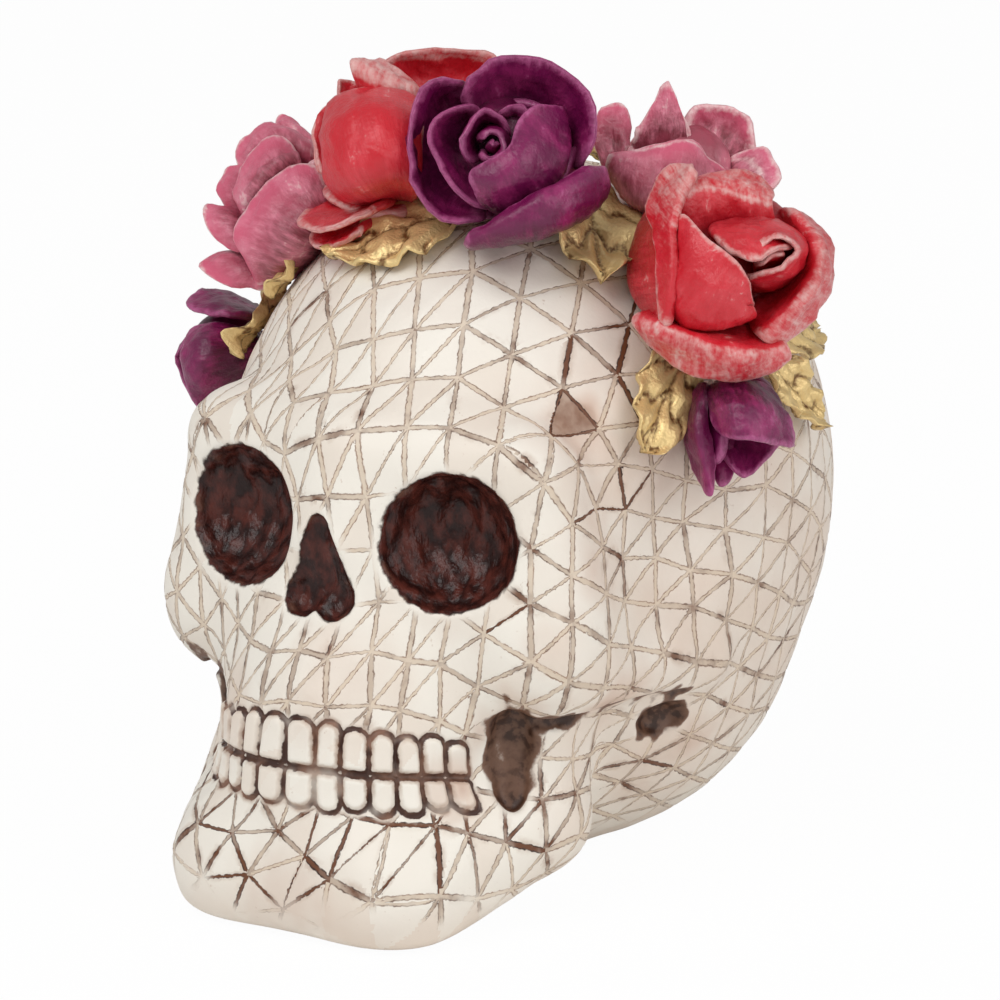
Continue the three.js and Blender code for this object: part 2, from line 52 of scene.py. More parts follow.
def rgb(code):
    """Linear colour of an sRGB hex code."""
    parts = [int(code[i : i + 2], 16) / 255 for i in (1, 3, 5)]
    return tuple(c / 12.92 if c <= 0.04045 else ((c + 0.055) / 1.055) ** 2.4 for c in parts) + (1.0,)


def step(low, high, values):
    """Smooth step from 0 at low to 1 at high."""
    t = np.clip((values - low) / (high - low), 0, 1)
    return t * t * (3 - 2 * t)


def unit(vectors):
    """Vectors of the same directions and length one."""
    return vectors / np.maximum(np.linalg.norm(vectors, axis=-1, keepdims=True), 1e-9)


def ripple(points, size, seed):
    """Smooth random waves about `size` long, from about -1 to 1."""
    count, stretch, level = 7, 1.8, 2.6
    rng = np.random.default_rng(seed)
    waves = rng.normal(size=(count, 3)) * 2 * math.pi / (size * stretch)
    return np.sin(points @ waves.T + rng.uniform(0, 2 * math.pi, count)).sum(-1) / level


def bearing(azimuth, elevation):
    """Unit vector at angles in degrees: azimuth 0 is the way the face looks, 90 the skull's left."""
    a, e = math.radians(azimuth), math.radians(elevation)
    return np.array([math.sin(a) * math.cos(e), -math.cos(a) * math.cos(e), math.sin(e)])


def new_mesh(name, points, faces, material):
    """A smooth shaded piece from points in millimetres."""
    mesh = bpy.data.meshes.new(name)
    mesh.from_pydata((np.asarray(points) * MM).tolist(), [], faces)
    mesh.shade_smooth()
    mesh.materials.append(material)
    piece = bpy.data.objects.new(name, mesh)
    bpy.context.scene.collection.objects.link(piece)
    return piece


def face_outward(piece):
    """Turns all faces of a piece to its outside."""
    net = bmesh.new()
    net.from_mesh(piece.data)
    bmesh.ops.recalc_face_normals(net, faces=net.faces[:])
    net.to_mesh(piece.data)
    net.free()


def store(mesh, name, values, domain="POINT"):
    """Keeps a number, or three, for every point, corner or face of a mesh."""
    values = np.asarray(values, np.float32)
    kind, key = ("FLOAT", "value") if values.ndim == 1 else ("FLOAT_VECTOR", "vector")
    mesh.attributes.new(name, kind, domain).data.foreach_set(key, values.ravel())


# Viewing angle of the photograph, which the carved petals and the mosaic follow too

VIEW_AZIMUTH, VIEW_ELEVATION = 32, 13
VIEW_OUT = bearing(VIEW_AZIMUTH, VIEW_ELEVATION)
VIEW_RIGHT = np.cross([0, 0, 1], bearing(VIEW_AZIMUTH, 0))
VIEWER = np.stack([VIEW_RIGHT, np.cross(VIEW_OUT, VIEW_RIGHT), VIEW_OUT])


# Skull's form: the casting's swellings and ridges, as in its drawing but lower between the eyes

SKIN = dict(
    cranium=dict(middle=(0, 11, 62), half=(52, 63, 60)),
    nape=dict(middle=(0, 14, 30), half=(41, 44, 32), blend=10),
    brow=dict(start=(10, -46, 80), end=(29, -42.5, 80), radii=(5, 5), blend=12),
    socket_rim=dict(start=(32, -38.5, 75), end=(34, -39.5, 55), radii=(5, 5), blend=9),
    face=dict(middle=(0, -34, 52), half=(41, 21.5, 30), blend=10),
    muzzle=dict(start=(0, -44, 20), end=(0, -43, 34), radii=(23.5, 23.5), blend=8),
    nasal_bridge=dict(start=(0, -48, 80), end=(0, -52, 67), radii=(6, 4.5), blend=8),
    cheekbone=dict(middle=(32.5, -37, 47.5), half=(11, 11.5, 11), blend=5),
    arch=dict(start=(37, -33, 43.5), end=(43, -5, 41), radii=(6, 6), blend=3.5),
    chin=dict(middle=(0, -57.5, 9), half=(24, 13.5, 12.5), blend=6),
    jaw=dict(start=(15.5, -57, 8.5), end=(28, -34, 17), radii=(12, 10), blend=8),
    ramus=dict(start=(29, -31.5, 18), end=(31, -31, 40), radii=(9, 9), flatness=0.6, blend=5),
    throat=dict(middle=(0, -20, 24), half=(27, 42, 28), blend=8),
)
TEMPLE_DIP = dict(middle=(52, -20, 66), half=(10, 14, 16), blend=8)
HOLLOWS = dict(
    socket=dict(middle=(23.5, -56.6, 67.7), half=(13.4, 14.1, 12.7), blend=1.0),
    nose=dict(start=(0.6, -57.4, 68.5), end=(3.3, -58.6, 57.3), radii=(1.6, 4.2), blend=0.6),
    nose_bridge=dict(start=(0, -57.2, 69), end=(0, -58.2, 58.9), radii=(1.7, 4.2), blend=0.6),
    cheek=dict(middle=(30.4, -44.2, 30.2), half=(4.1, 4.2, 9.6), blend=1.0),
    ear=dict(middle=(43, -13, 30), half=(6, 6.5, 4), blend=0.8),
    arch_front=dict(start=(29.5, -46.8, 36.2), end=(39.4, -33, 35.4), radii=(1.6, 1.7), blend=1.0),
    arch_back=dict(start=(39.4, -33, 35.4), end=(44.6, -13, 34.4), radii=(1.7, 2.2), blend=1.0),
)
DARK_HOLLOWS = ("socket", "nose", "nose_bridge")
SHADED_HOLLOWS = ("cheek", "ear", "arch_front", "arch_back")
RIGHT_SOCKET_X, RIGHT_SOCKET_SHRINK = 21.4, 0.88
MIDLINE_ROUNDING = 1.0
BASE_BLEND = 2.5


def ellipsoid(points, middle, half):
    """Distance to an ellipsoid, nearly true close to its skin."""
    share = (points - np.array(middle)) / np.array(half)
    size = np.linalg.norm(share, axis=-1)
    return size * (size - 1) / np.maximum(np.linalg.norm(share / np.array(half), axis=-1), 1e-6)


def bar(points, start, end, radii, flatness=1.0):
    """Distance to a bar with round ends, which may taper and be flattened from side to side."""
    squeeze = np.array([1 / flatness, 1, 1])
    way = (points - np.array(start)) * squeeze
    run = (np.array(end) - np.array(start)) * squeeze
    share = np.clip(way @ run / (run @ run), 0, 1)
    return np.linalg.norm(way - share[..., None] * run, axis=-1) - (radii[0] + (radii[1] - radii[0]) * share)


def join(a, b, blend):
    """Distance to two shapes taken together, with a soft seam where they meet."""
    overlap = np.maximum(blend - np.abs(a - b), 0)
    return np.minimum(a, b) - overlap * overlap / (4 * blend)


def left_half(points, rounding):
    """Points folded over to the skull's left, with the fold rounded off."""
    return np.column_stack([np.hypot(points[:, 0], rounding), points[:, 1], points[:, 2]])


def formed(points, part):
    """Distance to one swelling, ridge or hollow."""
    form = {key: value for key, value in part.items() if key != "blend"}
    return ellipsoid(points, **form) if "half" in form else bar(points, **form)


def skin(points):
    """Distance to the skull's skin before any hollow is cut."""
    folded = left_half(points, MIDLINE_ROUNDING)
    cranium, *others = SKIN.values()
    distance = formed(folded, cranium)
    for part in others:
        distance = join(distance, formed(folded, part), part["blend"])
    return -join(-distance, formed(folded, TEMPLE_DIP), TEMPLE_DIP["blend"])


def hollow(points, name):
    """Distance to one of the hollows, on both sides of the skull."""
    folded = left_half(points, 0.0)
    if name == "socket":
        # cut by hand: the right socket is a little wider and nearer to the nose
        middle = HOLLOWS[name]["middle"][0]
        right = middle + (folded[:, 0] - RIGHT_SOCKET_X) * RIGHT_SOCKET_SHRINK
        folded[:, 0] = np.where(points[:, 0] < 0, right, folded[:, 0])
    return formed(folded, HOLLOWS[name])


def nearest_hollow(points, names):
    """Distance to the nearest of some hollows."""
    return np.min([hollow(points, name) for name in names], axis=0)


def casting(points):
    """Distance to the skull with its hollows and its flat base."""
    distance = skin(points)
    for name, form in HOLLOWS.items():
        distance = -join(-distance, hollow(points, name), form["blend"])
    return -join(-distance, points[:, 2], BASE_BLEND)


def slope(field, points, reach=0.05):
    """Slope of a field of distances at points."""
    axes = np.eye(3) * reach
    return np.stack([(field(points + axis) - field(points - axis)) / (2 * reach) for axis in axes], -1)


def settle(field, points, rounds=3, flattest=0.05, longest=1.5):
    """Moves points along the field's slope onto its surface."""
    for _ in range(rounds):
        way = slope(field, points)
        move = np.clip(field(points) / np.maximum((way * way).sum(-1), flattest), -longest, longest)
        points = points - move[:, None] * way
    return points


def cast_rays(origin, directions, start=240.0, rounds=60, stride=0.6):
    """Where rays from a point inside the skull leave its skin, found from outside inwards."""
    directions = unit(np.asarray(directions, float))
    outside = np.full(len(directions), start)
    for _ in range(rounds):
        over = skin(origin + directions * outside[:, None])
        outside = outside - np.maximum(over, 0) * stride
    return origin + directions * outside[:, None]


# Teeth, along the arch from the midline

TOOTH_WIDTHS = [5.6, 4.4, 4.7, 4.4, 4.4, 4.4, 4.4]
UPPER_TOOTH, LOWER_TOOTH = 8.4, 6.8
TOOTH_TAPER = 0.27
TOOTH_UNEVEN = (-0.5, 0.4)
TOOTH_LEAN = 0.05
GUM_ROUNDNESS = (0.8, 1.0)
GUM_ROUNDING, BITE_ROUNDING = 2.4, 0.6
BITE_HEIGHT, BITE_DROP, DROP_END = 29.9, 3.0, 1.1
ARCH_MIDDLE = np.array([0, -44.0, 0])
ARCH_SWEEP = 130
TOOTH_GAP, BITE_GAP = 0.55, 0.5
MOUTH_BACK, MOUTH_REACH = -36, 14
NO_TOOTH = -9.0


def arch_lengths():
    """Angles round the dental arch, and how far along the skin from the midline each one is."""
    angles = np.radians(np.arange(ARCH_SWEEP + 1))
    level = np.stack([np.sin(angles), -np.cos(angles), np.zeros_like(angles)], -1)
    arch = cast_rays(ARCH_MIDDLE + [0, 0, BITE_HEIGHT], level)
    return angles, np.concatenate([[0], np.cumsum(np.linalg.norm(np.diff(arch, axis=0), axis=1))])


def tooth_gap(points):
    """Distance inside the nearest tooth's outline, below zero between the teeth and on the gums."""
    turn = np.arctan2(np.abs(points[:, 0]), ARCH_MIDDLE[1] - points[:, 1])
    along = np.interp(turn, *arch_lengths())
    row = sum(TOOTH_WIDTHS)
    bite = BITE_HEIGHT - BITE_DROP * np.minimum(along / row, DROP_END) ** 2
    best = np.full(len(points), NO_TOOTH)
    rng = np.random.default_rng(12)
    edge = 0.0
    for width in TOOTH_WIDTHS:
        for height, way in ((UPPER_TOOTH, 1), (LOWER_TOOTH, -1)):
            height = height * (1 - TOOTH_TAPER * edge / row) + rng.uniform(*TOOTH_UNEVEN)
            half = np.array([width, height]) / 2 - TOOTH_GAP / 2
            rise = way * (points[:, 2] - bite) - height / 2 - BITE_GAP / 2
            side = along - (edge + width / 2) + rng.uniform(-TOOTH_LEAN, TOOTH_LEAN) * rise
            gum_end = min(half[0] * rng.uniform(*GUM_ROUNDNESS), GUM_ROUNDING)
            rounding = np.where(rise > 0, gum_end, BITE_ROUNDING)
            out = np.abs(np.column_stack([side, rise])) - half + rounding[:, None]
            distance = np.minimum(out.max(1), 0) + np.linalg.norm(np.maximum(out, 0), axis=1) - rounding
            best = np.maximum(best, -distance)
        edge += width
    near = (points[:, 1] < MOUTH_BACK) & (np.abs(points[:, 2] - BITE_HEIGHT) < MOUTH_REACH)
    return np.where(near, best, NO_TOOTH)


# Mosaic of triangles incised all over the skin

GOLDEN = (1 + math.sqrt(5)) / 2
ICOSAHEDRON_EDGE = 1.05
LATTICE_SPLITS = 8
LATTICE_MIDDLE = np.array([0, -12.0, 47.0])
LATTICE_POLE = VIEW_RIGHT
LATTICE_SHEAR = 0.6
LATTICE_TWIST = 4
TILE_SIDE = 9.6
FACE_SMALLER, FLANK_SMALLER, JAW_SMALLER = 1.6, 1.3, 0.6
BROW_WIDER, BROW_FLATTER = 0.1, 0.3
RELAX_ROUNDS, RELAX_PULL = 140, 0.12
HAND_JITTER = 0.4


def geodesic(splits):
    """Corners and faces of an icosahedron with every face split into rows of small triangles."""
    corners = np.array([(0, s, t * GOLDEN) for s in (-1, 1) for t in (-1, 1)], float)
    corners = unit(np.concatenate([np.roll(corners, k, axis=1) for k in range(3)]))
    reach = np.linalg.norm(corners[:, None] - corners[None], axis=-1)
    near = np.abs(reach - ICOSAHEDRON_EDGE) < 0.1
    trios = [(a, b, c) for a in range(12) for b in range(a + 1, 12) for c in range(b + 1, 12)
             if near[a, b] and near[b, c] and near[a, c]]
    keys, points, faces = {}, [], []

    def corner(point):
        key = tuple(np.round(point, 5) + 0.0)
        if key not in keys:
            keys[key] = len(points)
            points.append(point)
        return keys[key]

    for trio in trios:
        a, b, c = corners[list(trio)]
        if np.dot(np.cross(b - a, c - a), a) < 0:
            b, c = c, b
        spot = {(i, j): corner(unit(a + (b - a) * i / splits + (c - a) * j / splits))
                for i in range(splits + 1) for j in range(splits + 1 - i)}
        for i in range(splits):
            for j in range(splits - i):
                faces.append((spot[i, j], spot[i + 1, j], spot[i, j + 1]))
                if i + j < splits - 1:
                    faces.append((spot[i + 1, j], spot[i + 1, j + 1], spot[i, j + 1]))
    return np.array(points), np.array(faces)


def lattice():
    """Geodesic net on the skin, with a corner at the pole, twisted about it and sheared beyond its middle."""
    points, faces = geodesic(LATTICE_SPLITS)
    pole = unit(np.array([0, -1, GOLDEN]))
    turn = Vector(pole).rotation_difference(Vector(LATTICE_POLE)).to_matrix()
    points = points @ np.array(turn).T
    latitude = np.arcsin(np.clip(points @ LATTICE_POLE, -1, 1))
    twist = -LATTICE_SHEAR * np.minimum(latitude, 0) + math.radians(LATTICE_TWIST)
    side = np.cross(LATTICE_POLE, points)
    flat = np.cross(side, LATTICE_POLE)
    points = (points - flat) + flat * np.cos(twist)[:, None] + side * np.sin(twist)[:, None]
    return cast_rays(LATTICE_MIDDLE, points), faces


def wanted_sides(middle, upright):
    """Sides of tiles by where they are: smaller on face, flank and jaw, on the brow wider and less tall."""
    x, y, z = np.abs(middle[:, 0]), middle[:, 1], middle[:, 2]
    face = step(86, 76, z) * step(-22, -34, y)
    flank = step(92, 78, z) * step(26, 38, x) * (1 - face)
    brow = step(72, 90, z) * step(40, 10, y) * step(46, 26, x)
    side = TILE_SIDE - FACE_SMALLER * face - FLANK_SMALLER * flank - JAW_SMALLER * step(34, 22, z) * face
    return side * (1 + brow * (BROW_WIDER - BROW_FLATTER * upright))


def columns(middles):
    """The way the mosaic's columns run at places on the skin."""
    return unit(np.cross(LATTICE_POLE, middles - LATTICE_MIDDLE))


def mosaic():
    """Corners and faces of the mosaic on the skin: columns run up the head, rows slope down to its side."""
    points, faces = lattice()
    sides = np.concatenate([faces[:, [0, 1]], faces[:, [1, 2]], faces[:, [2, 0]]])
    edges = np.unique(np.sort(sides, axis=1), axis=0)
    start, end = edges.T
    first = np.linalg.norm(points[end] - points[start], axis=1)
    around = np.bincount(edges.ravel(), np.repeat(first, 2)) / np.bincount(edges.ravel())
    skew = 2 * first / (around[start] + around[end])
    for _ in range(RELAX_ROUNDS):
        middle = (points[start] + points[end]) / 2
        run = points[end] - points[start]
        length = np.linalg.norm(run, axis=1)
        upright = step(0.75, 0.95, np.abs((unit(run) * columns(middle)).sum(1)))
        wanted = skew * wanted_sides(middle, upright)
        pull = run * ((length - wanted) / np.maximum(length, 0.1))[:, None] * RELAX_PULL
        np.add.at(points, start, pull)
        np.add.at(points, end, -pull)
        points = settle(skin, points, 1)
    rng = np.random.default_rng(7)
    return settle(skin, points + rng.normal(size=points.shape) * HAND_JITTER, 2), faces


# Skull's net of quads

NET_LOW, NET_HIGH = np.array([-58.0, -78, -5]), np.array([58.0, 81, 128])
NET_SPACING = 1.5
FINE_RIM, FINE_TOOTH = 1.6, -1.5
FAR_OUTSIDE = 10.0


def settle_net(net):
    """Moves the net's points onto the casting."""
    net.verts.ensure_lookup_table()
    net.verts.index_update()
    spots = settle(casting, np.array([v.co for v in net.verts]), 3)
    for vertex, spot in zip(net.verts, spots):
        vertex.co = spot


def skull_mesh():
    """Points and faces of the casting: a net of quads, finer at the mouth and the rims of the hollows."""
    count = np.ceil((NET_HIGH - NET_LOW) / NET_SPACING).astype(int) + 1
    axes = [NET_LOW[i] + NET_SPACING * np.arange(count[i]) for i in range(3)]
    grid = np.stack(np.meshgrid(*axes, indexing="ij"), -1).reshape(-1, 3)
    volume = openvdb.FloatGrid(FAR_OUTSIDE)
    volume.copyFromArray(casting(grid).reshape(count).astype(np.float32))
    points, quads = volume.convertToQuads(isovalue=0.0)
    points = settle(casting, points * NET_SPACING + NET_LOW)
    mesh = bpy.data.meshes.new("net")
    mesh.from_pydata(points.tolist(), [], quads[:, ::-1].tolist())
    net = bmesh.new()
    net.from_mesh(mesh)
    bmesh.ops.subdivide_edges(net, edges=net.edges[:], cuts=1, use_grid_fill=True)
    settle_net(net)
    spots = np.array([v.co for v in net.verts])
    rims = np.min([np.abs(hollow(spots, name)) for name in HOLLOWS], axis=0)
    fine = (rims < FINE_RIM) | (tooth_gap(spots) > FINE_TOOTH)
    edges = [e for e in net.edges if fine[e.verts[0].index] and fine[e.verts[1].index]]
    bmesh.ops.subdivide_edges(net, edges=edges, cuts=1, use_grid_fill=True)
    settle_net(net)
    bmesh.ops.triangulate(net, faces=[f for f in net.faces if len(f.verts) > 4])
    net.to_mesh(mesh)
    net.free()
    points = np.empty(len(mesh.vertices) * 3)
    mesh.vertices.foreach_get("co", points)
    return points.reshape(-1, 3), [tuple(p.vertices) for p in mesh.polygons]


# Skull's lines, wash, painted shade and relief

# Where the sepia wash was left thick: a spot, its reach and its strength.
# those behind the jaw, behind the eye's outer rim and under the chin are painted shade as well as wash
STAINS = [
    ((34.6, -31, 84), 9, 0.9), ((33, -21, 98), 16, 0.12), ((41, -21, 76), 14, 0.22), ((40, -46, 52), 8, 0.3),
    ((40.5, -34, 63), 9, 0.4), ((41, -33, 72), 8, 0.3), ((27.5, -50, 30), 6, 0.9),
    ((36, -6, 22), 18, 0.5), ((8, -63, 45), 16, 0.35), ((2, -70, 9), 15, 0.45), ((-16, -62, 36), 12, 0.4),
    ((31, -44, 40), 8, 0.5), ((43, -30, 36), 9, 0.5), ((24, -53, 25), 7, 0.4), ((24, -50, 56), 9, 0.25),
]
# Ways the darkest inked cuts run, and a tile left brown.
INKED = [
    [(31.9, -49.8, 54.9), (34.2, -48.2, 58.3)],
    [(25.5, -58.3, 18), (24.6, -54.7, 21.5)],
    [(-8.3, -71, 8.2), (-2.9, -70.7, 11.8), (3.8, -70.9, 10.2), (-1.5, -70.7, 6.6), (-8.3, -71, 8.2)],
    [(11.6, -66.6, 20.1), (16, -63.7, 21.6), (19.6, -60.1, 22.3)],
    [(5.5, -67.1, 22.5), (6.2, -69.1, 16.7), (4.8, -70.9, 10.5), (1, -69.8, 3.8)],
    [(10.6, -66, 21.8), (11.2, -67.5, 18.9), (13.4, -68.8, 16.2)],
    [(33.4, -12.2, 102.4), (36.1, -17.4, 95.7), (38.9, -20.8, 88)],
    [(39.5, -34.8, 70.2), (40.6, -23.5, 70.7), (41.3, -21.5, 78.1)],
    [(-17.3, -68, 15.9), (-12.8, -69.7, 14.5), (-7.2, -70.3, 13.5)],
    [(36.3, -12, 22.5), (35, 1.8, 13.2)],
]
INK_REACH, INK_ALONG, FULL_INK = 2.8, 0.8, 1.0
BROWN_TILE, BROWN_TINT = np.array([33.3, -32, 87]), 2
GROOVE_HALF_WIDTH, GROOVE_DEPTH = 0.45, 0.15
THICK_LINE, THIN_LINE, LINE_UNEVEN = 0.4, 0.27, 0.06
LINE_DIRT, THIN_CLEANER, MOST_DIRT = (0.05, 0.55), 0.15, 0.95
# strengths of the wash on the sides and round the roses, and of the painted shade in dips and along the foot
SIDE_WASH, DIP_SHADE, FOOT_SHADE, ROSE_WASH = 0.42, 0.35, 0.25, 0.12
SHADE_REACH, SHADE_FADE, SHADE_RAGGED = 6, 0.8, 0.9
CROWN_HEIGHT, TOOTH_MOAT = 1.0, 0.35
LUMP_HEIGHT, BRUSH_HEIGHT = 0.12, 0.3
DIP_REACH = 4
SIDE_ENDS = [(1, 2), (2, 0), (0, 1)]


def side_gaps(spots, trios):
    """Distances of spots from the three sides of their own tiles, whose corners are given."""
    plane = unit(np.cross(trios[:, 1] - trios[:, 0], trios[:, 2] - trios[:, 0]))
    gaps = np.empty((len(spots), 3))
    for k, (i, j) in enumerate(SIDE_ENDS):
        inward = unit(np.cross(plane, trios[:, j] - trios[:, i]))
        gaps[:, k] = ((spots - trios[:, i]) * inward).sum(-1)
    return gaps


def line_looks(nodes, tiles):
    """Half width and dirt of the three lines round each tile, and each tile's tint."""
    rng = np.random.default_rng(21)
    ends = np.sort(tiles[:, SIDE_ENDS], axis=-1).reshape(-1, 2)
    codes, lines = np.unique(ends, axis=0, return_inverse=True)
    lines = lines.reshape(-1, 3)
    middles = nodes[codes].mean(1)
    run = unit(nodes[codes[:, 1]] - nodes[codes[:, 0]])
    climb, aside = (run * columns(middles)).sum(1), run @ LATTICE_POLE
    thin = (np.abs(climb) < 0.85) & (climb * aside < 0)
    half_width = np.where(thin, THIN_LINE, THICK_LINE) + rng.uniform(-LINE_UNEVEN, LINE_UNEVEN, len(codes))
    dirt = rng.uniform(*LINE_DIRT, len(codes)) - THIN_CLEANER * thin
    mouth = step(16, 4, np.abs(middles[:, 2] - 24)) * step(-30, -45, middles[:, 1])
    stained = [step(far, 3, np.linalg.norm(middles - spot, axis=1)) for spot, far, _ in STAINS]
    grubby = mouth + 0.5 * np.max(stained, axis=0)
    dirt = np.clip(dirt + grubby * rng.uniform(0, 0.8, len(codes)), 0, MOST_DIRT)
    for way in INKED:
        for start, end in zip(way, way[1:]):
            along = np.abs(run @ unit(np.subtract(end, start)))
            near = bar(middles, start, end, (0, 0)) < INK_REACH
            dirt[near & (along > INK_ALONG)] = FULL_INK
    brown = np.argmin(np.linalg.norm(nodes[tiles].mean(1) - BROWN_TILE, axis=1))
    dirt[lines[brown]] = FULL_INK
    half_width[dirt == FULL_INK] -= LINE_UNEVEN
    tint = rng.uniform(0, 1, len(tiles)) ** 3
    tint[brown] = BROWN_TINT
    return half_width[lines], dirt[lines], tint


def relief(points, line, fade, tooth):
    """How far hand-cut grooves, crowns of teeth, a lumpy skin and brushed hollows stand out."""
    groove = fade * (1 - step(0.3, 1.0, line / GROOVE_HALF_WIDTH))
    moat = step(-0.75, -0.4, tooth) * (1 - step(-0.35, 0.0, tooth))
    lumps = ripple(points, 7, 11) * step(1, 4, points[:, 2])
    inside = step(0.5, 2.0, -skin(points)) * step(2, 5, points[:, 2])
    brushed = inside * ripple(points * [1, 1, 0.6], 4, 5)
    raised = CROWN_HEIGHT * step(-0.25, 0.8, tooth) + LUMP_HEIGHT * lumps + BRUSH_HEIGHT * brushed
    return raised - GROOVE_DEPTH * groove - TOOTH_MOAT * moat


def shade_depth(points):
    """Depth of brown and painted shade in cheek, ear and arch hollows: ragged, and deeper up under the
    cheekbone as painted shadow.
    """
    away = nearest_hollow(points, SHADED_HOLLOWS)
    sunk_shade = np.where(away < SHADE_REACH, -2 * skin(points), 0) - SHADE_FADE * np.maximum(away - 0.3, 0)
    # painted shadow: the brown grows darker higher up under the cheekbone
    shadow_under_arch = 0.12 * (points[:, 2] - 30) * (points[:, 1] < -38)
    return sunk_shade + shadow_under_arch + SHADE_RAGGED * ripple(points, 5, 17)


def wash_and_shade_left(points, normals, wobble):
    """Share of sepia wash on the sides, round the roses and in stains, and of painted shade in dips and along
    the foot.
    """
    side = step(22, 48, np.abs(points[:, 0]) + 4 * wobble) * step(-52, -30, points[:, 1])
    tangents = unit(np.cross(normals, [0.3, 0.5, 0.8]))
    others = np.cross(normals, tangents)
    ring = [tangents, -tangents, others, -others]
    dip = -np.mean([casting(points + DIP_REACH * way) for way in ring], axis=0)
    roots = cast_rays(GARLAND_MIDDLE, [bearing(*form["seat"]) for form in BLOOMS])
    rose = np.min([np.linalg.norm(points - root, axis=1) for root in roots], axis=0) + 3 * wobble
    stains = [strong * step(far, 2, np.linalg.norm(points - spot, axis=1) + 2 * wobble)
              for spot, far, strong in STAINS]
    # the dip and foot terms are painted shade: darker in concave spots and towards the base
    wash = SIDE_WASH * side + DIP_SHADE * step(0.2, 1.5, dip) + FOOT_SHADE * step(12, 2, points[:, 2])
    return np.clip(wash + ROSE_WASH * step(30, 14, rose) + np.max(stains, axis=0), 0, 1)


def build_skull(material):
    """The casting, with what its paint needs to know at every point, corner and face."""
    points, faces = skull_mesh()
    normals = unit(slope(casting, points))
    nodes, tiles = mosaic()
    sizes = np.array([len(f) for f in faces])
    corners = np.concatenate([np.array(f) for f in faces])
    face_of = np.repeat(np.arange(len(faces)), sizes)
    centres = np.zeros((len(faces), 3))
    np.add.at(centres, face_of, points[corners])
    centres /= sizes[:, None]
    finder = BVHTree.FromPolygons(nodes.tolist(), tiles.tolist())
    tile = np.array([finder.find_nearest(Vector(c))[2] for c in centres])
    trios = nodes[tiles[tile]]
    gaps = side_gaps(points[corners], trios[face_of])
    line = np.full(len(points), TILE_SIDE)
    np.minimum.at(line, corners, np.abs(gaps).min(1))

    tooth = tooth_gap(points)
    wobble = ripple(points, 9, 3)
    fade = step(0.2, 2.2, nearest_hollow(points, HOLLOWS) + 0.5 * wobble)
    fade *= step(5, 10, points[:, 2] + 2 * wobble) * (1 - step(-1.3, -0.7, tooth))
    shaped = points + normals * relief(points, line, fade, tooth)[:, None]
    shaped[:, 2] = np.maximum(shaped[:, 2], 0)
    skull = new_mesh("skull_casting", shaped, faces, material)

    mesh = skull.data
    half_width, dirt, tint = line_looks(nodes, tiles)
    nearest = np.abs(side_gaps(centres, trios)).argmin(1)
    dark = nearest_hollow(points, DARK_HOLLOWS) < 1
    store(mesh, "line_gap", gaps, "CORNER")
    store(mesh, "line_dirt", dirt[tile, nearest], "FACE")
    store(mesh, "line_half", half_width[tile, nearest], "FACE")
    store(mesh, "tile_tint", tint[tile], "FACE")
    store(mesh, "line_fade", fade)
    store(mesh, "hollow_depth", np.where(dark, -skin(points), 0))
    store(mesh, "shade_depth", shade_depth(points))
    store(mesh, "tooth_gap", tooth)
    # the wash here also carries painted shade in dips and along the foot
    store(mesh, "wash", wash_and_shade_left(points, normals, wobble))
    return skull


# Roses and buds: thick petals pressed from one casting

PETAL_THICKNESS = 1.9
PETAL_TUCK = 0.1
PETAL_RINGS, PETAL_SPOKES = 16, 56
PETAL_SQUARENESS, CARVED_SQUARENESS = 2.7, 5
PETAL_MARKS = 80
PETAL_WAVE, PETAL_ROLL, PETAL_RUFFLE = 0.045, 0.1, 0.06
ROLLED_LIP, LONG_PETAL = 12, 0.9
CARVED_OVERHANG = 1.06
CARVED_WAVE, CARVED_GRAIN = 0.4, 0.12
FOLD_RIM, FOLD_FADE = 0.4, 60
FOOT_FROM_RIM, NO_RIM = 3, 9.0
STROKE_DEGREES, STROKE_WIDTH, STROKE_STEP = 60, 20, 3
HEART_FLATNESS, ROOT_SHARE = 0.7, 0.25
CAST_GRAIN, CAST_GRAIN_SIZE = 0.12, 3.5
RIM_START = 0.88
GARLAND_MIDDLE = np.array([0, 8.0, 66.0])

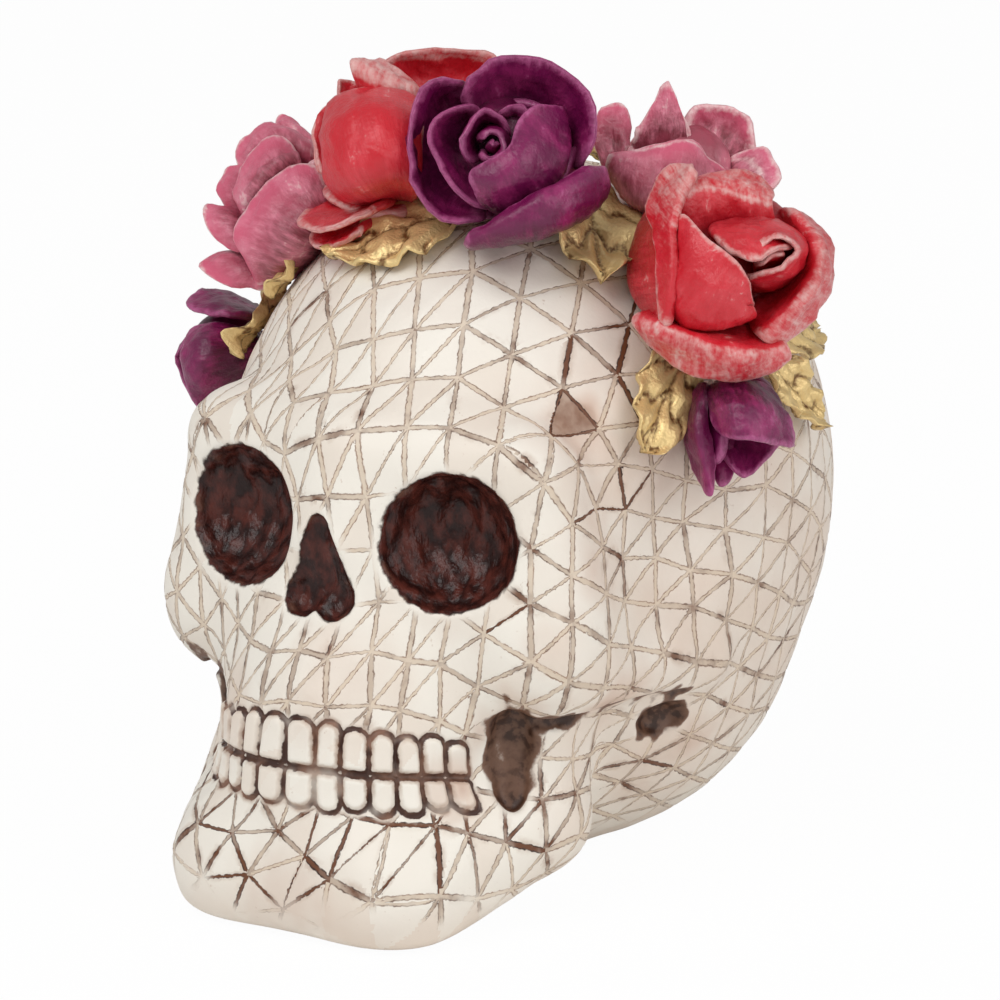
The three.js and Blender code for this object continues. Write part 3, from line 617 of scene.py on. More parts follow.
# Per bloom: radius in mm and the share of it that sets the petals, the heart's place and radius as the viewer
# sees them, where it sits and faces in degrees, and how far its foot stands off the skin. Per petal: turn and
# half width round the axis, foot and length in shares of the size, angle from the axis at foot and tip, and
# how far the lip rolls out. Turns are as seen from the front of the bloom, 0 to the right.
BLOOMS = [
    dict(node="front_purple_rose", paint="purple", radius=18, core=0.6, heart=(-3, 8, 5, 10), seat=(32, 69),
         facing=(14, 28), lift=6, petals=[
        (40, 160, 0.02, 0.5, 60, -10, 0), (150, 110, 0.04, 0.72, 80, -12, 8), (40, 70, 0.08, 0.78, 80, -8, 8),
        (-42, 92, 0.08, 1.35, 88, -36, 18), (190, 64, 0.12, 1.0, 86, 8, 24),
        (60, 82, 0.16, 1.2, 86, 12, 30), (186, 62, 0.18, 1.18, 86, 22, 18),
        (-52, 72, 0.24, 1.3, 88, -10, 30)]),
    dict(node="left_red_rose", paint="red", radius=19.5, core=0.62, heart=(7, 1.5, 5, 13), seat=(86, 47),
         facing=(56, 32), lift=1, petals=[
        (100, 130, 0.03, 0.62, 70, -8, 4), (-60, 110, 0.06, 0.74, 76, -6, 10),
        (208, 84, 0.1, 1.2, 88, -30, 12), (82, 78, 0.12, 1.0, 84, 4, 42), (-25, 66, 0.12, 1.0, 84, 10, 40),
        (158, 54, 0.16, 1.25, 86, 6, 100), (262, 68, 0.2, 1.12, 84, 46, 44),
        (-20, 62, 0.18, 1.08, 86, 50, 36), (72, 58, 0.18, 1.08, 86, 44, 60)]),
    dict(node="right_red_rose", paint="red", radius=19, core=0.72, heart=(-7.5, 6, 5, 11), seat=(-30, 70),
         facing=(-22, 74), lift=1.5, petals=[
        (0, 150, 0.03, 0.7, 70, -10, 0), (180, 110, 0.06, 0.8, 76, -6, 4),
        (-50, 84, 0.14, 1.4, 88, -22, 6), (-150, 66, 0.16, 1.3, 86, -4, 34), (90, 80, 0.14, 1.4, 86, -6, 36),
        (-105, 58, 0.28, 1.0, 88, 80, 34), (165, 56, 0.22, 1.2, 86, 34, 44)]),
    dict(node="right_pink_rose", paint="pink", radius=18, core=0.72, heart=(-9, 4, 3, 10), seat=(-74, 50),
         facing=(-66, 44), lift=4, petals=[
        (20, 115, 0.03, 0.8, 74, -12, 0), (200, 112, 0.06, 0.95, 78, -10, 6),
        (60, 76, 0.12, 1.3, 86, -18, 24), (180, 76, 0.12, 1.3, 86, -16, 24),
        (300, 76, 0.12, 1.25, 86, -14, 24), (-20, 56, 0.2, 1.15, 86, 22, 44), (50, 50, 0.2, 1.15, 86, 22, 44),
        (120, 50, 0.2, 1.15, 86, 30, 44), (200, 54, 0.2, 1.2, 86, 40, 44), (275, 54, 0.2, 1.2, 86, 40, 44)]),
    dict(node="left_pink_rose", paint="pink", radius=16.5, core=0.62, heart=(2.5, 6, 2, 9), seat=(108, 62),
         facing=(60, 60), lift=0.5, petals=[
        (60, 115, 0.03, 0.7, 70, -8, 0), (230, 112, 0.06, 0.8, 76, -6, 4),
        (90, 38, 0.1, 1.6, 80, -10, 24), (228, 84, 0.14, 1.25, 88, -14, 26), (340, 70, 0.12, 1.15, 86, 0, 30),
        (15, 60, 0.16, 1.25, 86, 20, 44), (-45, 56, 0.2, 1.0, 88, 60, 60), (160, 50, 0.18, 1.3, 86, 6, 30),
        (270, 60, 0.2, 1.05, 88, 50, 40)]),
    dict(node="left_purple_bud", paint="purple", radius=10.5, core=0.7, heart=(5, -1, 4, 6), seat=(74, 23),
         facing=(52, -62), lift=5, petals=[
        (0, 105, 0.1, 1.3, 50, -6, 0), (180, 105, 0.12, 1.35, 50, -6, 0),
        (70, 85, 0.14, 1.6, 52, 2, 30), (190, 60, 0.14, 1.9, 50, 0, 24), (290, 80, 0.14, 1.65, 52, 4, 30)]),
    dict(node="right_purple_bud", paint="purple", radius=11.5, core=0.8, heart=(-11, -0.5, 3, 7),
         seat=(-84, 21), facing=(-68, -62), lift=5, petals=[
        (0, 105, 0.1, 1.3, 50, -6, 0), (180, 105, 0.12, 1.35, 50, -6, 0),
        (50, 85, 0.14, 1.6, 52, 2, 30), (170, 60, 0.14, 1.8, 50, 4, 26), (290, 80, 0.14, 1.65, 52, 6, 30)]),
]

# Petals seen from the front left, carved to their own shape: each lies on curves from its base to its rim.
# Points are right, up and out of the root, in mm as that viewer sees them. Where a lip folds over, fold is
# the share of the petal's length at which it does, and bare is how near to a scuffed rim the whole lip
# counts, in mm, at both ends or at each: the less, the paler.
CARVED = dict(
    left_red_rose=[
        dict(fold=0.5, bare=(0.2, 2.3), curves=[
            [(-3.2, 13, 4), (-7.8, 11, 8), (-10.8, 4.9, 10), (-11.5, -2.1, 13), (-9.5, -7.9, 17)],
            [(-1.3, 15.3, 22), (-3.5, 11, 25), (-4.7, 5.9, 27), (-4.6, -1.4, 28), (-5.5, -8.7, 27)],
            [(-1.4, 18.5, 20), (-5.8, 16.9, 18), (-8.9, 10.8, 19), (-7.3, 2.2, 25), (-7.6, -8.9, 25)],
        ]),
        dict(fold=0.5, bare=0.9, curves=[
            [(13.9, 4.7, 10), (10.3, 4.5, 13), (6.3, 4.4, 15), (2.3, 3.6, 17), (-1.5, 1.5, 18)],
            [(12, 11.1, 17), (8.9, 11.8, 19), (5.1, 12.9, 20), (1.1, 13.7, 21), (-3.4, 12.2, 23)],
            [(13.1, 13.5, 11), (10.8, 16.2, 11), (7.7, 17.9, 11), (3.2, 17, 13), (-1.4, 14.7, 17)],
        ]),
        dict(curves=[
            [(1, -1.5, 2), (1.9, -2, 2), (3.1, -2.3, 2), (4.5, -2.3, 2), (5.9, -1.5, 2)],
            [(-4.1, 5.2, 18), (-5.3, -2.4, 22), (-3.1, -8.9, 24), (3.2, -9.4, 24), (8.7, -7.6, 22)],
            [(-3.5, 7.7, 25), (-2.7, 1.5, 29), (0.2, -3.2, 31), (3.8, -4.9, 31), (8, -5.7, 27)],
            [(-1.9, 9.4, 27), (0.5, 5, 31), (3.8, 2.3, 32), (7.1, -0.9, 31), (9.4, -6.8, 26)],
        ]),
        dict(curves=[
            [(6.7, -0.1, 8), (10.1, -2.7, 8), (15.4, -0.9, 6), (16.2, 5.1, 6), (11.8, 8.4, 8),
             (5.4, 6.1, 10)],
            [(6.6, -1.2, 18), (10.6, -2.6, 19), (15.8, -0.5, 18), (17.4, 4.6, 17), (12.2, 7.7, 20),
             (3.6, 5.5, 23)],
            [(7.3, -0.8, 28), (10.5, -0.6, 30), (14.4, 0.4, 30), (15.7, 3.3, 29), (12.1, 4.6, 30),
             (7.8, 1.2, 31)],
        ]),
        dict(curves=[
            [(1.1, 7.4, 20), (6, 8.1, 20), (11.6, 8.1, 19), (16.6, 5.3, 17)],
            [(2.5, 5, 26), (6.7, 5.3, 27), (11.1, 5.3, 26), (15.8, 4.4, 23)],
            [(4.6, 1.8, 30), (8.1, 0.9, 31), (11.1, 2.2, 31), (14.5, 3.3, 29)],
        ]),
        dict(curves=[
            [(9, 0.3, 18), (11, 0.6, 18), (13, 1.4, 18)],
            [(9, 0.7, 25), (11.3, 1.3, 25), (13.6, 2.1, 25)],
            [(9.2, 1.1, 28.6), (11.5, 1.9, 29), (13.8, 2.7, 28.4)],
        ]),
        dict(fold=0.67, bare=1.0, curves=[
            [(8.7, -4.9, 12), (11.5, -3.1, 10), (13.9, 0.4, 8), (14, 3.1, 8), (12.7, 6.2, 8)],
            [(9, -8.6, 18), (14.2, -4.1, 15), (17, 0.8, 12), (16.8, 5.7, 10), (14.4, 10.3, 8)],
            [(10.6, -11.2, 24), (15.4, -6.5, 24), (19.5, -1.1, 22), (19.9, 5.3, 17), (16.1, 10.5, 12)],
            [(14, -13.3, 18), (19.3, -8.1, 14), (23.2, -1.7, 9), (23.1, 4.6, 7), (19.4, 10.5, 5)],
        ]),
        dict(fold=0.67, bare=1.0, curves=[
            [(-6.2, -4.8, 10), (-1.9, -6.5, 9), (2, -7.1, 9), (5.8, -6.5, 9), (10.1, -4.8, 10)],
            [(-8.3, -7, 20), (-3.9, -9, 21), (1.1, -10.6, 21), (6.8, -11.2, 20), (13.1, -10.2, 17)],
            [(-10.7, -8.2, 24), (-5.9, -10.3, 27), (0.4, -12.7, 28), (7, -14.3, 27), (14, -13.4, 22)],
            [(-10.8, -11.4, 21), (-6, -15.1, 22), (0.6, -18, 23), (8, -18.8, 22), (15.2, -16, 18)],
        ]),
    ],
    front_purple_rose=[
        dict(curves=[
            [(6.2, 3.8, 4), (4.8, 7, 3), (3.6, 9.6, 3), (1.1, 11.8, 3), (-1.5, 12.5, 3), (-4.1, 12.1, 3),
             (-6.1, 10.7, 4)],
            [(8.5, 5.5, 10), (8.5, 10.8, 8), (6.5, 14.8, 7), (2.8, 17, 6), (-1.5, 17.6, 6), (-5.8, 17.4, 7),
             (-9.5, 15.3, 9)],
            [(10.7, 5.4, 17), (12.4, 11.6, 17), (10.7, 18.1, 15), (4.7, 22.7, 14), (-1, 23.4, 14),
             (-6.4, 23.2, 14), (-10.5, 19.1, 15)],
        ]),
        dict(curves=[
            [(-7.5, 11.3, 3), (-9.2, 10.4, 3), (-10.1, 8.7, 3), (-10.1, 6.6, 3), (-9.2, 4.8, 4),
             (-7.5, 3.4, 5), (-5.4, 2.5, 6)],
            [(-10.5, 17.7, 7), (-14, 17, 6), (-16, 12.7, 6), (-17, 7.4, 8), (-15.6, 1.6, 10),
             (-11.7, -1.9, 12), (-7.1, -2.3, 13)],
            [(-10, 20.2, 14), (-15, 19.9, 14), (-18.2, 15.2, 15), (-19.7, 7.8, 17), (-18, 0.3, 18),
             (-13.3, -4.8, 19), (-7.1, -5, 18)],
        ]),
        dict(curves=[
            [(-5.8, 11.2, 4), (-7.1, 10.7, 4), (-7.8, 9.5, 4), (-7.8, 7.8, 4), (-7.1, 6, 5), (-5.8, 4.2, 6),
             (-4.1, 3.2, 7)],
            [(-7.5, 13.7, 8), (-9.9, 13.7, 8), (-12.2, 11.9, 9), (-12.9, 8.9, 10), (-11.2, 5.4, 12),
             (-9.1, 1.6, 14), (-6.1, -0.8, 15)],
            [(-7.8, 15.5, 14), (-12.1, 14.7, 15), (-15, 12.5, 17), (-15.9, 8.6, 19), (-13.6, 4.4, 21),
             (-11.6, -0.2, 22), (-6.7, -3.2, 21)],
        ]),
        dict(curves=[
            [(-4.1, 2.6, 4), (-2.4, 2.6, 4), (-0.6, 3.8, 4), (0.6, 6, 4), (1.1, 8.6, 4), (1.1, 10.3, 4)],
            [(-6.1, -1.9, 18), (-2.4, -2.4, 19), (3, 0, 18), (6.3, 4.5, 16), (7.2, 9.5, 13),
             (6.1, 13.9, 11)],
            [(-8.4, 1.1, 23), (-4.6, 1.4, 25), (-0.4, 3.8, 25), (2.6, 7.8, 22), (4, 11.5, 18),
             (5.4, 14.8, 14)],
            [(-9.6, 4.1, 23), (-6.1, 5.3, 24), (-2.7, 7.3, 24), (-1.2, 11.7, 22), (1.4, 14.8, 19),
             (4.8, 15.4, 15)],
        ]),
        dict(curves=[
            [(-4.1, 8.8, 6), (-4.9, 9.3, 6), (-5.8, 9.6, 6), (-6.5, 9.1, 6), (-6.6, 8.1, 6),
             (-6.1, 7.1, 7)],
            [(-3.1, 9.7, 11), (-4.4, 11.7, 11), (-6.6, 12.7, 11), (-8.5, 11.3, 12), (-9, 8.3, 13),
             (-7.9, 6, 14)],
            [(-2.2, 10.5, 17), (-4.1, 13, 17), (-6.8, 14.1, 18), (-9.3, 11.6, 19), (-10.1, 8, 20),
             (-8.9, 5, 20)],
        ]),
        dict(curves=[
            [(-1.5, 11.1, 5), (-2.7, 11.1, 5), (-4.1, 11.1, 5)],
            [(0, 12.9, 9), (-2, 13.6, 9), (-4.1, 13.6, 9)],
            [(1, 14.2, 13), (-1.5, 14.9, 13), (-4.4, 14.7, 13)],
        ]),
        dict(curves=[
            [(-6.8, 8.1, 6), (-5.4, 7.1, 6), (-3.7, 8.4, 6), (-4.1, 10.5, 6), (-5.8, 11.2, 6),
             (-7.1, 9.8, 6)],
            [(-7.4, 7.5, 13), (-5.8, 5.9, 13), (-3.1, 7.5, 13), (-3.2, 10.3, 13), (-5.8, 11.4, 13),
             (-7.8, 9.5, 13)],
            [(-6.7, 7.3, 19), (-5.6, 6.3, 19), (-3.9, 7.4, 19), (-4.2, 9.4, 18), (-5.6, 10, 18),
             (-6.7, 8.8, 19)],
        ]),
        dict(curves=[
            [(-6.2, 8.6, 9), (-5.2, 8, 9), (-4.3, 8.8, 9)],
            [(-6.2, 8.7, 14), (-5.2, 8, 14), (-4.3, 8.9, 14)],
            [(-6, 8.9, 17.6), (-5.2, 8.3, 18.2), (-4.5, 9, 17.6)],
        ]),
        dict(curves=[
            [(-7.5, -6.8, 10), (-4.1, -6.4, 9), (0.2, -5.4, 8), (4.4, -3.9, 7), (8.7, -1.8, 6),
             (12.2, 0.8, 5)],
            [(-8.8, -8.8, 19), (-3.7, -8.3, 22), (0.9, -7.4, 23), (5.9, -5.7, 22), (10.7, -3, 18),
             (13.8, 0.7, 13)],
            [(-9.4, -8.2, 22), (-4.4, -5.9, 26), (0.4, -3.4, 27), (5.2, -1.3, 26), (9.9, 1.3, 22),
             (13.4, 3.8, 16)],
            [(-9.1, -6.8, 22), (-5.1, -4.6, 24), (-0.4, -1.6, 25), (4.6, 1.4, 23), (9.3, 4.4, 19),
             (13.1, 5.9, 14)],
        ]),
    ],
    left_pink_rose=[
        dict(fold=0.9, bare=1.5, curves=[
            [(-2.9, 0.3, 2), (-1.1, -0.1, 2), (1, -0.1, 2), (3.2, 0.3, 2), (5.9, 1.1, 2), (8, 2, 2)],
            [(-9.7, 4.2, 12), (-6, -0.4, 16), (-1.7, -1.4, 17), (2.6, -0.4, 16), (7.1, 1.6, 12),
             (10.4, 3.5, 8)],
            [(-10.1, 7.4, 15), (-6.2, 5.9, 18), (-1.8, 5.8, 19), (3, 6.8, 18), (6.6, 5.7, 14),
             (9.8, 4.7, 10)],
            [(-9, 8.9, 13), (-5.1, 8.9, 15), (-0.8, 9.5, 16), (3.5, 10.8, 15), (6.4, 8.3, 12),
             (10.5, 5.5, 9)],
        ]),
        dict(curves=[
            [(4, 8, 4), (2.3, 8, 4), (0.2, 8, 4), (-2.1, 8, 4), (-4.7, 8, 4)],
            [(3.9, 11.3, 6), (2.5, 13.3, 7), (0, 14.2, 8), (-2.8, 13.2, 8), (-5.9, 11.1, 8)],
            [(3.5, 12.9, 7), (1.6, 17.4, 8), (0.1, 21.4, 9), (-1.4, 19.4, 8), (-4.5, 13.5, 8)],
        ]),
        dict(curves=[
            [(9.5, 5.7, 0), (8.6, 6.6, 0), (7.4, 6.9, 0), (5.9, 7.4, 1), (5.1, 7.7, 1), (4.1, 8.2, 2)],
            [(13.9, 9.2, 0), (12.7, 11.8, 0), (10.9, 13.2, 0), (7.7, 13.9, 1), (5.4, 13.8, 2),
             (3.7, 12.9, 4)],
            [(16, 10.3, 2), (14.6, 14.8, 2), (12.5, 17.1, 2), (8.4, 18, 3), (4.9, 17.8, 4), (2.6, 15.6, 5)],
        ]),
        dict(fold=0.6, bare=1.5, curves=[
            [(8.5, 2, 2), (9.1, 3.3, 1), (9.5, 4.8, 0), (9.8, 6.2, 0), (9.5, 6.9, 0)],
            [(13.4, 1, 8), (15.1, 3.1, 8), (14.7, 5.7, 6), (13.6, 7.3, 4), (11.1, 7.6, 2)],
            [(17.2, 1.2, 10), (19.6, 4.4, 9), (18.6, 8.2, 6), (17, 10.2, 4), (12, 9.4, 2)],
        ]),
        dict(curves=[
            [(-5.5, 3.8, 2), (-6.7, 4.6, 2), (-7.8, 5, 2), (-8.8, 4.6, 2), (-9.9, 3.8, 2)],
            [(-6.8, 8.9, 4), (-7.8, 11.9, 3), (-9.2, 13.8, 2), (-10.9, 13.1, 2), (-12.3, 10.3, 2)],
            [(-6.4, 11.7, 2), (-6.5, 16, 1), (-8.3, 18.3, 0), (-11.1, 17.3, 0), (-12.6, 13.6, 0)],
        ]),
    ],
    right_red_rose=[
        dict(curves=[
            [(-5.7, -2.5, 0), (-5.2, -2.5, 0), (-4.8, -2.5, 0), (-4.3, -2.5, 0), (-3.8, -2.5, 0),
             (-3.1, -2.5, 0), (-2.4, -2.5, 0)],
            [(-13.9, -2.4, 14), (-12.5, -1.8, 19), (-10.4, -0.8, 22), (-7.9, 0.2, 24), (-5.6, 0.7, 24),
             (-3.4, 0.3, 23), (-1.2, -0.7, 21)],
            [(-16.7, 0.2, 16), (-16.6, 4.5, 19), (-14.8, 8.3, 21), (-11.6, 10.5, 22), (-8, 11.3, 23),
             (-4.3, 11, 22), (-0.9, 10, 20)],
            [(-17.8, 2.7, 14), (-18.4, 8.1, 12), (-17.3, 12.6, 10), (-14.1, 16.1, 9), (-9.4, 17.1, 9),
             (-4.9, 16.5, 10), (-1.1, 15, 11)],
        ]),
        dict(curves=[
            [(-5.8, -1.5, -2), (-5.8, -0.6, -2), (-5.2, 0.2, -2), (-4.9, 1.1, -2)],
            [(-16.8, 2.2, 6), (-17.7, 6.6, 5), (-16.9, 10.5, 4), (-15.2, 13.4, 3)],
            [(-18.5, 2.9, 8), (-19.8, 8.3, 6), (-18.8, 13.3, 4), (-15.9, 16.2, 3)],
        ]),
        dict(fold=0.5, bare=0.2, curves=[
            [(-1.4, 7.3, -2), (-3.1, 7.3, -2), (-5.2, 7.3, -2), (-7, 7.3, -2)],
            [(-2, 15.9, 8), (-5.5, 17, 9), (-9.4, 18.2, 10), (-12.7, 20.1, 10)],
            [(-0.9, 17.4, 2), (-4.3, 20, 2), (-7.4, 22.6, 2), (-11.3, 21.7, 5)],
        ]),
        dict(fold=0.9, bare=1.5, curves=[
            [(7.4, 9.4, -6), (4.7, 9.4, -6), (2.1, 9.4, -6), (-0.6, 9.4, -6), (-3.2, 9.2, -4)],
            [(10.9, 18.2, -6), (6.5, 19.8, -8), (1.2, 20.2, -8), (-3.2, 19.7, -7), (-6.7, 18.9, -4)],
            [(14.4, 22, -2), (10, 24.9, -3), (3, 25.3, -3), (-4, 25, -2), (-8.3, 23, 0)],
        ]),
        dict(fold=0.6, bare=1.5, curves=[
            [(-4.8, 7.1, 0)] * 4,
            [(-7.4, 13.9, 2), (-10, 14.2, 2), (-12.6, 14.1, 3), (-13.4, 12.8, 4)],
            [(-8.6, 19.1, 2), (-12.1, 18.7, 3), (-15.5, 19.1, 4), (-16, 16.2, 5)],
        ]),
        dict(fold=0.45, bare=1.5, curves=[
            [(-4.5, -1, 0), (-4.7, -1.4, 4), (-5, -1.9, 8), (-5.2, -2.2, 12), (-5.1, -2.5, 15)],
            [(-11, -1.2, -2), (-13.1, -2.8, 3), (-14, -4.3, 8), (-12.7, -5.6, 13), (-9.5, -4.9, 16)],
            [(-17.2, -1.9, -2), (-21.2, -3.6, 2), (-22.4, -6.4, 8), (-18.5, -8, 14), (-13.8, -6.7, 17)],
        ]),
        dict(curves=[
            [(-8.2, -4.6, 4), (-7.8, -4.7, 6), (-7.4, -4.9, 8), (-7, -5, 10)],
            [(-16, -6.8, 4), (-15.3, -8.5, 8), (-13.5, -9.1, 12), (-11, -7.5, 14)],
            [(-21.1, -8.2, 4), (-19.8, -10.2, 8), (-16.2, -10.8, 12), (-13, -9.6, 14)],
        ]),
    ],
    right_pink_rose=[
        dict(curves=[
            [(-0.8, -2.4, 0)] * 7,
            [(-9.2, -8.4, 12), (-8.1, -6.5, 16), (-6.8, -4.4, 19), (-5.5, -1.9, 21), (-3.9, 0.2, 21),
             (-2.6, 2, 20), (-0.9, 3.9, 18)],
            [(-13.2, -8.8, 13), (-13.6, -5.5, 17), (-13.4, -2.4, 20), (-11.6, 1.2, 21), (-8.7, 4.5, 21),
             (-5.7, 7.2, 20), (-2.7, 8.4, 18)],
            [(-14.5, -9.7, 12), (-15.4, -5.4, 14), (-17.4, -0.9, 16), (-16, 3.5, 16), (-12.3, 7.9, 16),
             (-8.1, 11.9, 16), (-3.1, 12.3, 16)],
        ]),
        dict(curves=[
            [(-3.5, -0.6, 0)] * 6,
            [(-14.6, 2.3, 10), (-13.9, 4.8, 12), (-12.4, 7.3, 14), (-10.3, 9.5, 14), (-8.2, 11, 13),
             (-6.5, 11.9, 12)],
            [(-16.1, 2.8, 11), (-16.5, 6.2, 13), (-14.7, 9.1, 14), (-12.2, 11.8, 14), (-10, 13.6, 13),
             (-7.3, 14.1, 11)],
            [(-17, 3.5, 9), (-18.6, 7.7, 9), (-16.8, 11.8, 9), (-14.1, 15.2, 9), (-11.6, 17.2, 9),
             (-8.1, 16.3, 9)],
        ]),
        dict(curves=[
            [(-3.6, 1.4, -2)] * 6,
            [(-13.9, 9.8, 6), (-13.5, 12.4, 7), (-12, 14, 8), (-10.3, 15.3, 8), (-7.6, 15.3, 8),
             (-4.6, 13.5, 8)],
            [(-18.1, 12.6, 2), (-18.5, 15.5, 2), (-16.7, 18, 2), (-13.8, 20, 2), (-9.7, 19.6, 2),
             (-4.8, 16.8, 3)],
        ]),
        dict(curves=[
            [(-3.6, 3.2, -2)] * 4,
            [(-9.7, 17.3, 2), (-8.4, 17.6, 2), (-7, 17.3, 2), (-4.9, 15.8, 2)],
            [(-11.9, 20.5, -2), (-10.3, 22, -2), (-7.9, 20.7, -2), (-4.8, 17.9, -1)],
        ]),
        dict(curves=[
            [(-3.5, -0.6, 0)] * 4,
            [(-16.6, 3.5, 6), (-16.9, 6.1, 7), (-16.2, 8.3, 7), (-14.8, 9.8, 6)],
            [(-20.5, 5.4, 4), (-21.7, 8.9, 3), (-20.3, 11.5, 2), (-17.8, 12.6, 2)],
        ]),
        dict(curves=[
            [(-3.5, -2.4, 0)] * 5,
            [(-14.5, -3.1, 12), (-16.2, -1, 12), (-17.6, 1.3, 10), (-18.1, 3, 8), (-17.2, 4, 6)],
            [(-17.3, -3, 10), (-21.2, -1.1, 9), (-23.8, 2.8, 8), (-23.6, 5.5, 6), (-20.4, 3.8, 5)],
        ]),
        dict(curves=[
            [(-2.5, -4.6, 2)] * 5,
            [(-11.5, -9.3, 12), (-14.5, -7.5, 12), (-16.3, -5.7, 11), (-15.5, -4, 9), (-14.2, -2.8, 7)],
            [(-15.1, -9.7, 10), (-19.9, -9, 10), (-24.7, -5.9, 8), (-22.5, -3.8, 6), (-19.4, -2.3, 5)],
        ]),
    ],
    left_purple_bud=[
        dict(curves=[
            [(-0.3, 2.3, 9), (-1.4, 2.6, 7), (-2.2, 2.5, 3)],
            [(-1.4, -4.6, 11), (-3.1, -5.1, 12), (-4, -5.7, 5)],
            [(0.4, -12.1, 9), (-0.5, -16.5, 12), (-2.6, -14.1, 7)],
        ]),
        dict(curves=[
            [(8.9, 2.6, 5), (5.2, 2.7, 9), (1.9, 2.7, 9), (-1.2, 2.4, 6)],
            [(11.9, -2.9, 8), (7.3, -2.2, 16), (2.6, -2.2, 17), (-0.5, -2.4, 12)],
            [(14.4, -9.2, 8), (8, -7.7, 17), (3.5, -7.2, 18), (0.1, -6.3, 13)],
        ]),
        dict(curves=[
            [(1.4, 1.5, 2), (4, 1.5, 1), (6.6, 1.5, 1), (9.2, 1.6, 0)],
            [(0.3, -5.3, 4), (3, -7, 4), (6.8, -7, 3), (11.3, -5.6, 1)],
            [(0.5, -8.6, 7), (4.1, -12.8, 9), (6.5, -12.9, 8), (11.5, -8.2, 4)],
        ]),
        dict(curves=[
            [(1.7, -0.2, 3), (3.1, -0.2, 3), (4.4, -0.2, 3)],
            [(0.3, -7.9, 5), (1.5, -8.4, 6), (3.3, -8, 5)],
            [(0, -13.4, 7), (1.4, -15.1, 8), (3.7, -13.4, 7)],
        ]),
    ],
    right_purple_bud=[
        dict(curves=[
            [(-4, 4.8, 12), (-4.2, 5.4, 8), (-4.6, 6, 3), (-4.9, 6.6, -2)],
            [(-10, 5.3, 14), (-11.5, 7.4, 9), (-11.2, 8.9, 3), (-10.1, 9.6, -3)],
            [(-14.3, 5, 12), (-18.1, 7.2, 8), (-16.7, 9.7, 3), (-13.1, 10.4, -3)],
        ]),
        dict(curves=[
            [(-4.5, -4.5, 10), (-4, -1.9, 12), (-4, 0, 12), (-4.1, 1.9, 10)],
            [(-11.3, -8.6, 12), (-13.6, -4.7, 17), (-14, -0.2, 17), (-12.5, 3.6, 12)],
            [(-14.1, -14.5, 8), (-17, -8.6, 13), (-18.8, -2.8, 13), (-18.4, 2.4, 9)],
        ]),
        dict(curves=[
            [(-5, 1.5, -4)] * 4,
            [(-13.8, 3.5, -6), (-16.8, -0.2, -8), (-16.4, -4.8, -8), (-12.8, -9.6, -4)],
            [(-18.8, 1.9, 4), (-20, -3.3, 2), (-17.4, -9.8, 3), (-13.6, -14.4, 5)],
        ]),
    ],
)


def through(knots, t):
    """Smooth curve through knots, at shares t of its run."""
    last = len(knots) - 1
    spot = t * last
    i = np.clip(np.floor(spot).astype(int), 0, last - 1)
    f = (spot - i)[:, None]
    own = np.arange(len(t)) if knots.shape[1] > 1 else np.zeros(len(t), int)
    b, c = knots[i, own], knots[i + 1, own]
    a = np.where((i > 0)[:, None], knots[np.maximum(i - 1, 0), own], 2 * b - c)
    d = np.where((i < last - 1)[:, None], knots[np.minimum(i + 2, last), own], 2 * c - b)
    return b + f * (c - a + f * (2 * a - 5 * b + 4 * c - d + f * (3 * (b - c) + d - a))) / 2


def cushion(rings, spokes):
    """A disc of two sheets that meet in a rounded rim: radius, angle, side and faces of its points."""
    flat = np.linspace(0, RIM_START, rings - 3)[1:]
    rim = RIM_START + (1 - RIM_START) * np.sin(np.radians([22.5, 45, 67.5]))
    radii = np.concatenate([flat, rim, [1.0]])
    angles = np.linspace(0, 2 * math.pi, spokes, endpoint=False)
    last = len(radii)
    spots, faces, rows = [], [], {}
    for side in (1, -1):
        hub = len(spots)
        spots.append((0.0, 0.0, side))
        for i, radius in enumerate(radii):
            if i == last - 1 and side < 0:
                rows[side, i] = rows[1, i]
                continue
            rows[side, i] = range(len(spots), len(spots) + spokes)
            spots += [(radius, angle, side) for angle in angles]
        for j in range(spokes):
            k = (j + 1) % spokes
            loop = [(hub, rows[side, 0][j], rows[side, 0][k])]
            loop += [(rows[side, i][j], rows[side, i + 1][j], rows[side, i + 1][k], rows[side, i][k])
                     for i in range(last - 1)]
            faces += [face[::-side] for face in loop]
    radius, angle, side = np.array(spots).T
    return radius, angle, side, faces


CUSHION = cushion(PETAL_RINGS, PETAL_SPOKES)


def bulge(radius):
    """Share of the thickness at a radius of the cushion: full, then rounding off to its rim."""
    return np.sqrt(np.maximum(1 - (np.maximum(radius - RIM_START, 0) / (1 - RIM_START)) ** 2, 0))


def rounded_square(power):
    """The cushion's points on a rounded square: across from -1 to 1, and share of the length from 0 to 1."""
    radius, angle, _, _ = CUSHION
    square = (np.abs(np.cos(angle)) ** power + np.abs(np.sin(angle)) ** power) ** (-1 / power)
    return radius * square * np.cos(angle), (radius * square * np.sin(angle) + 1) / 2


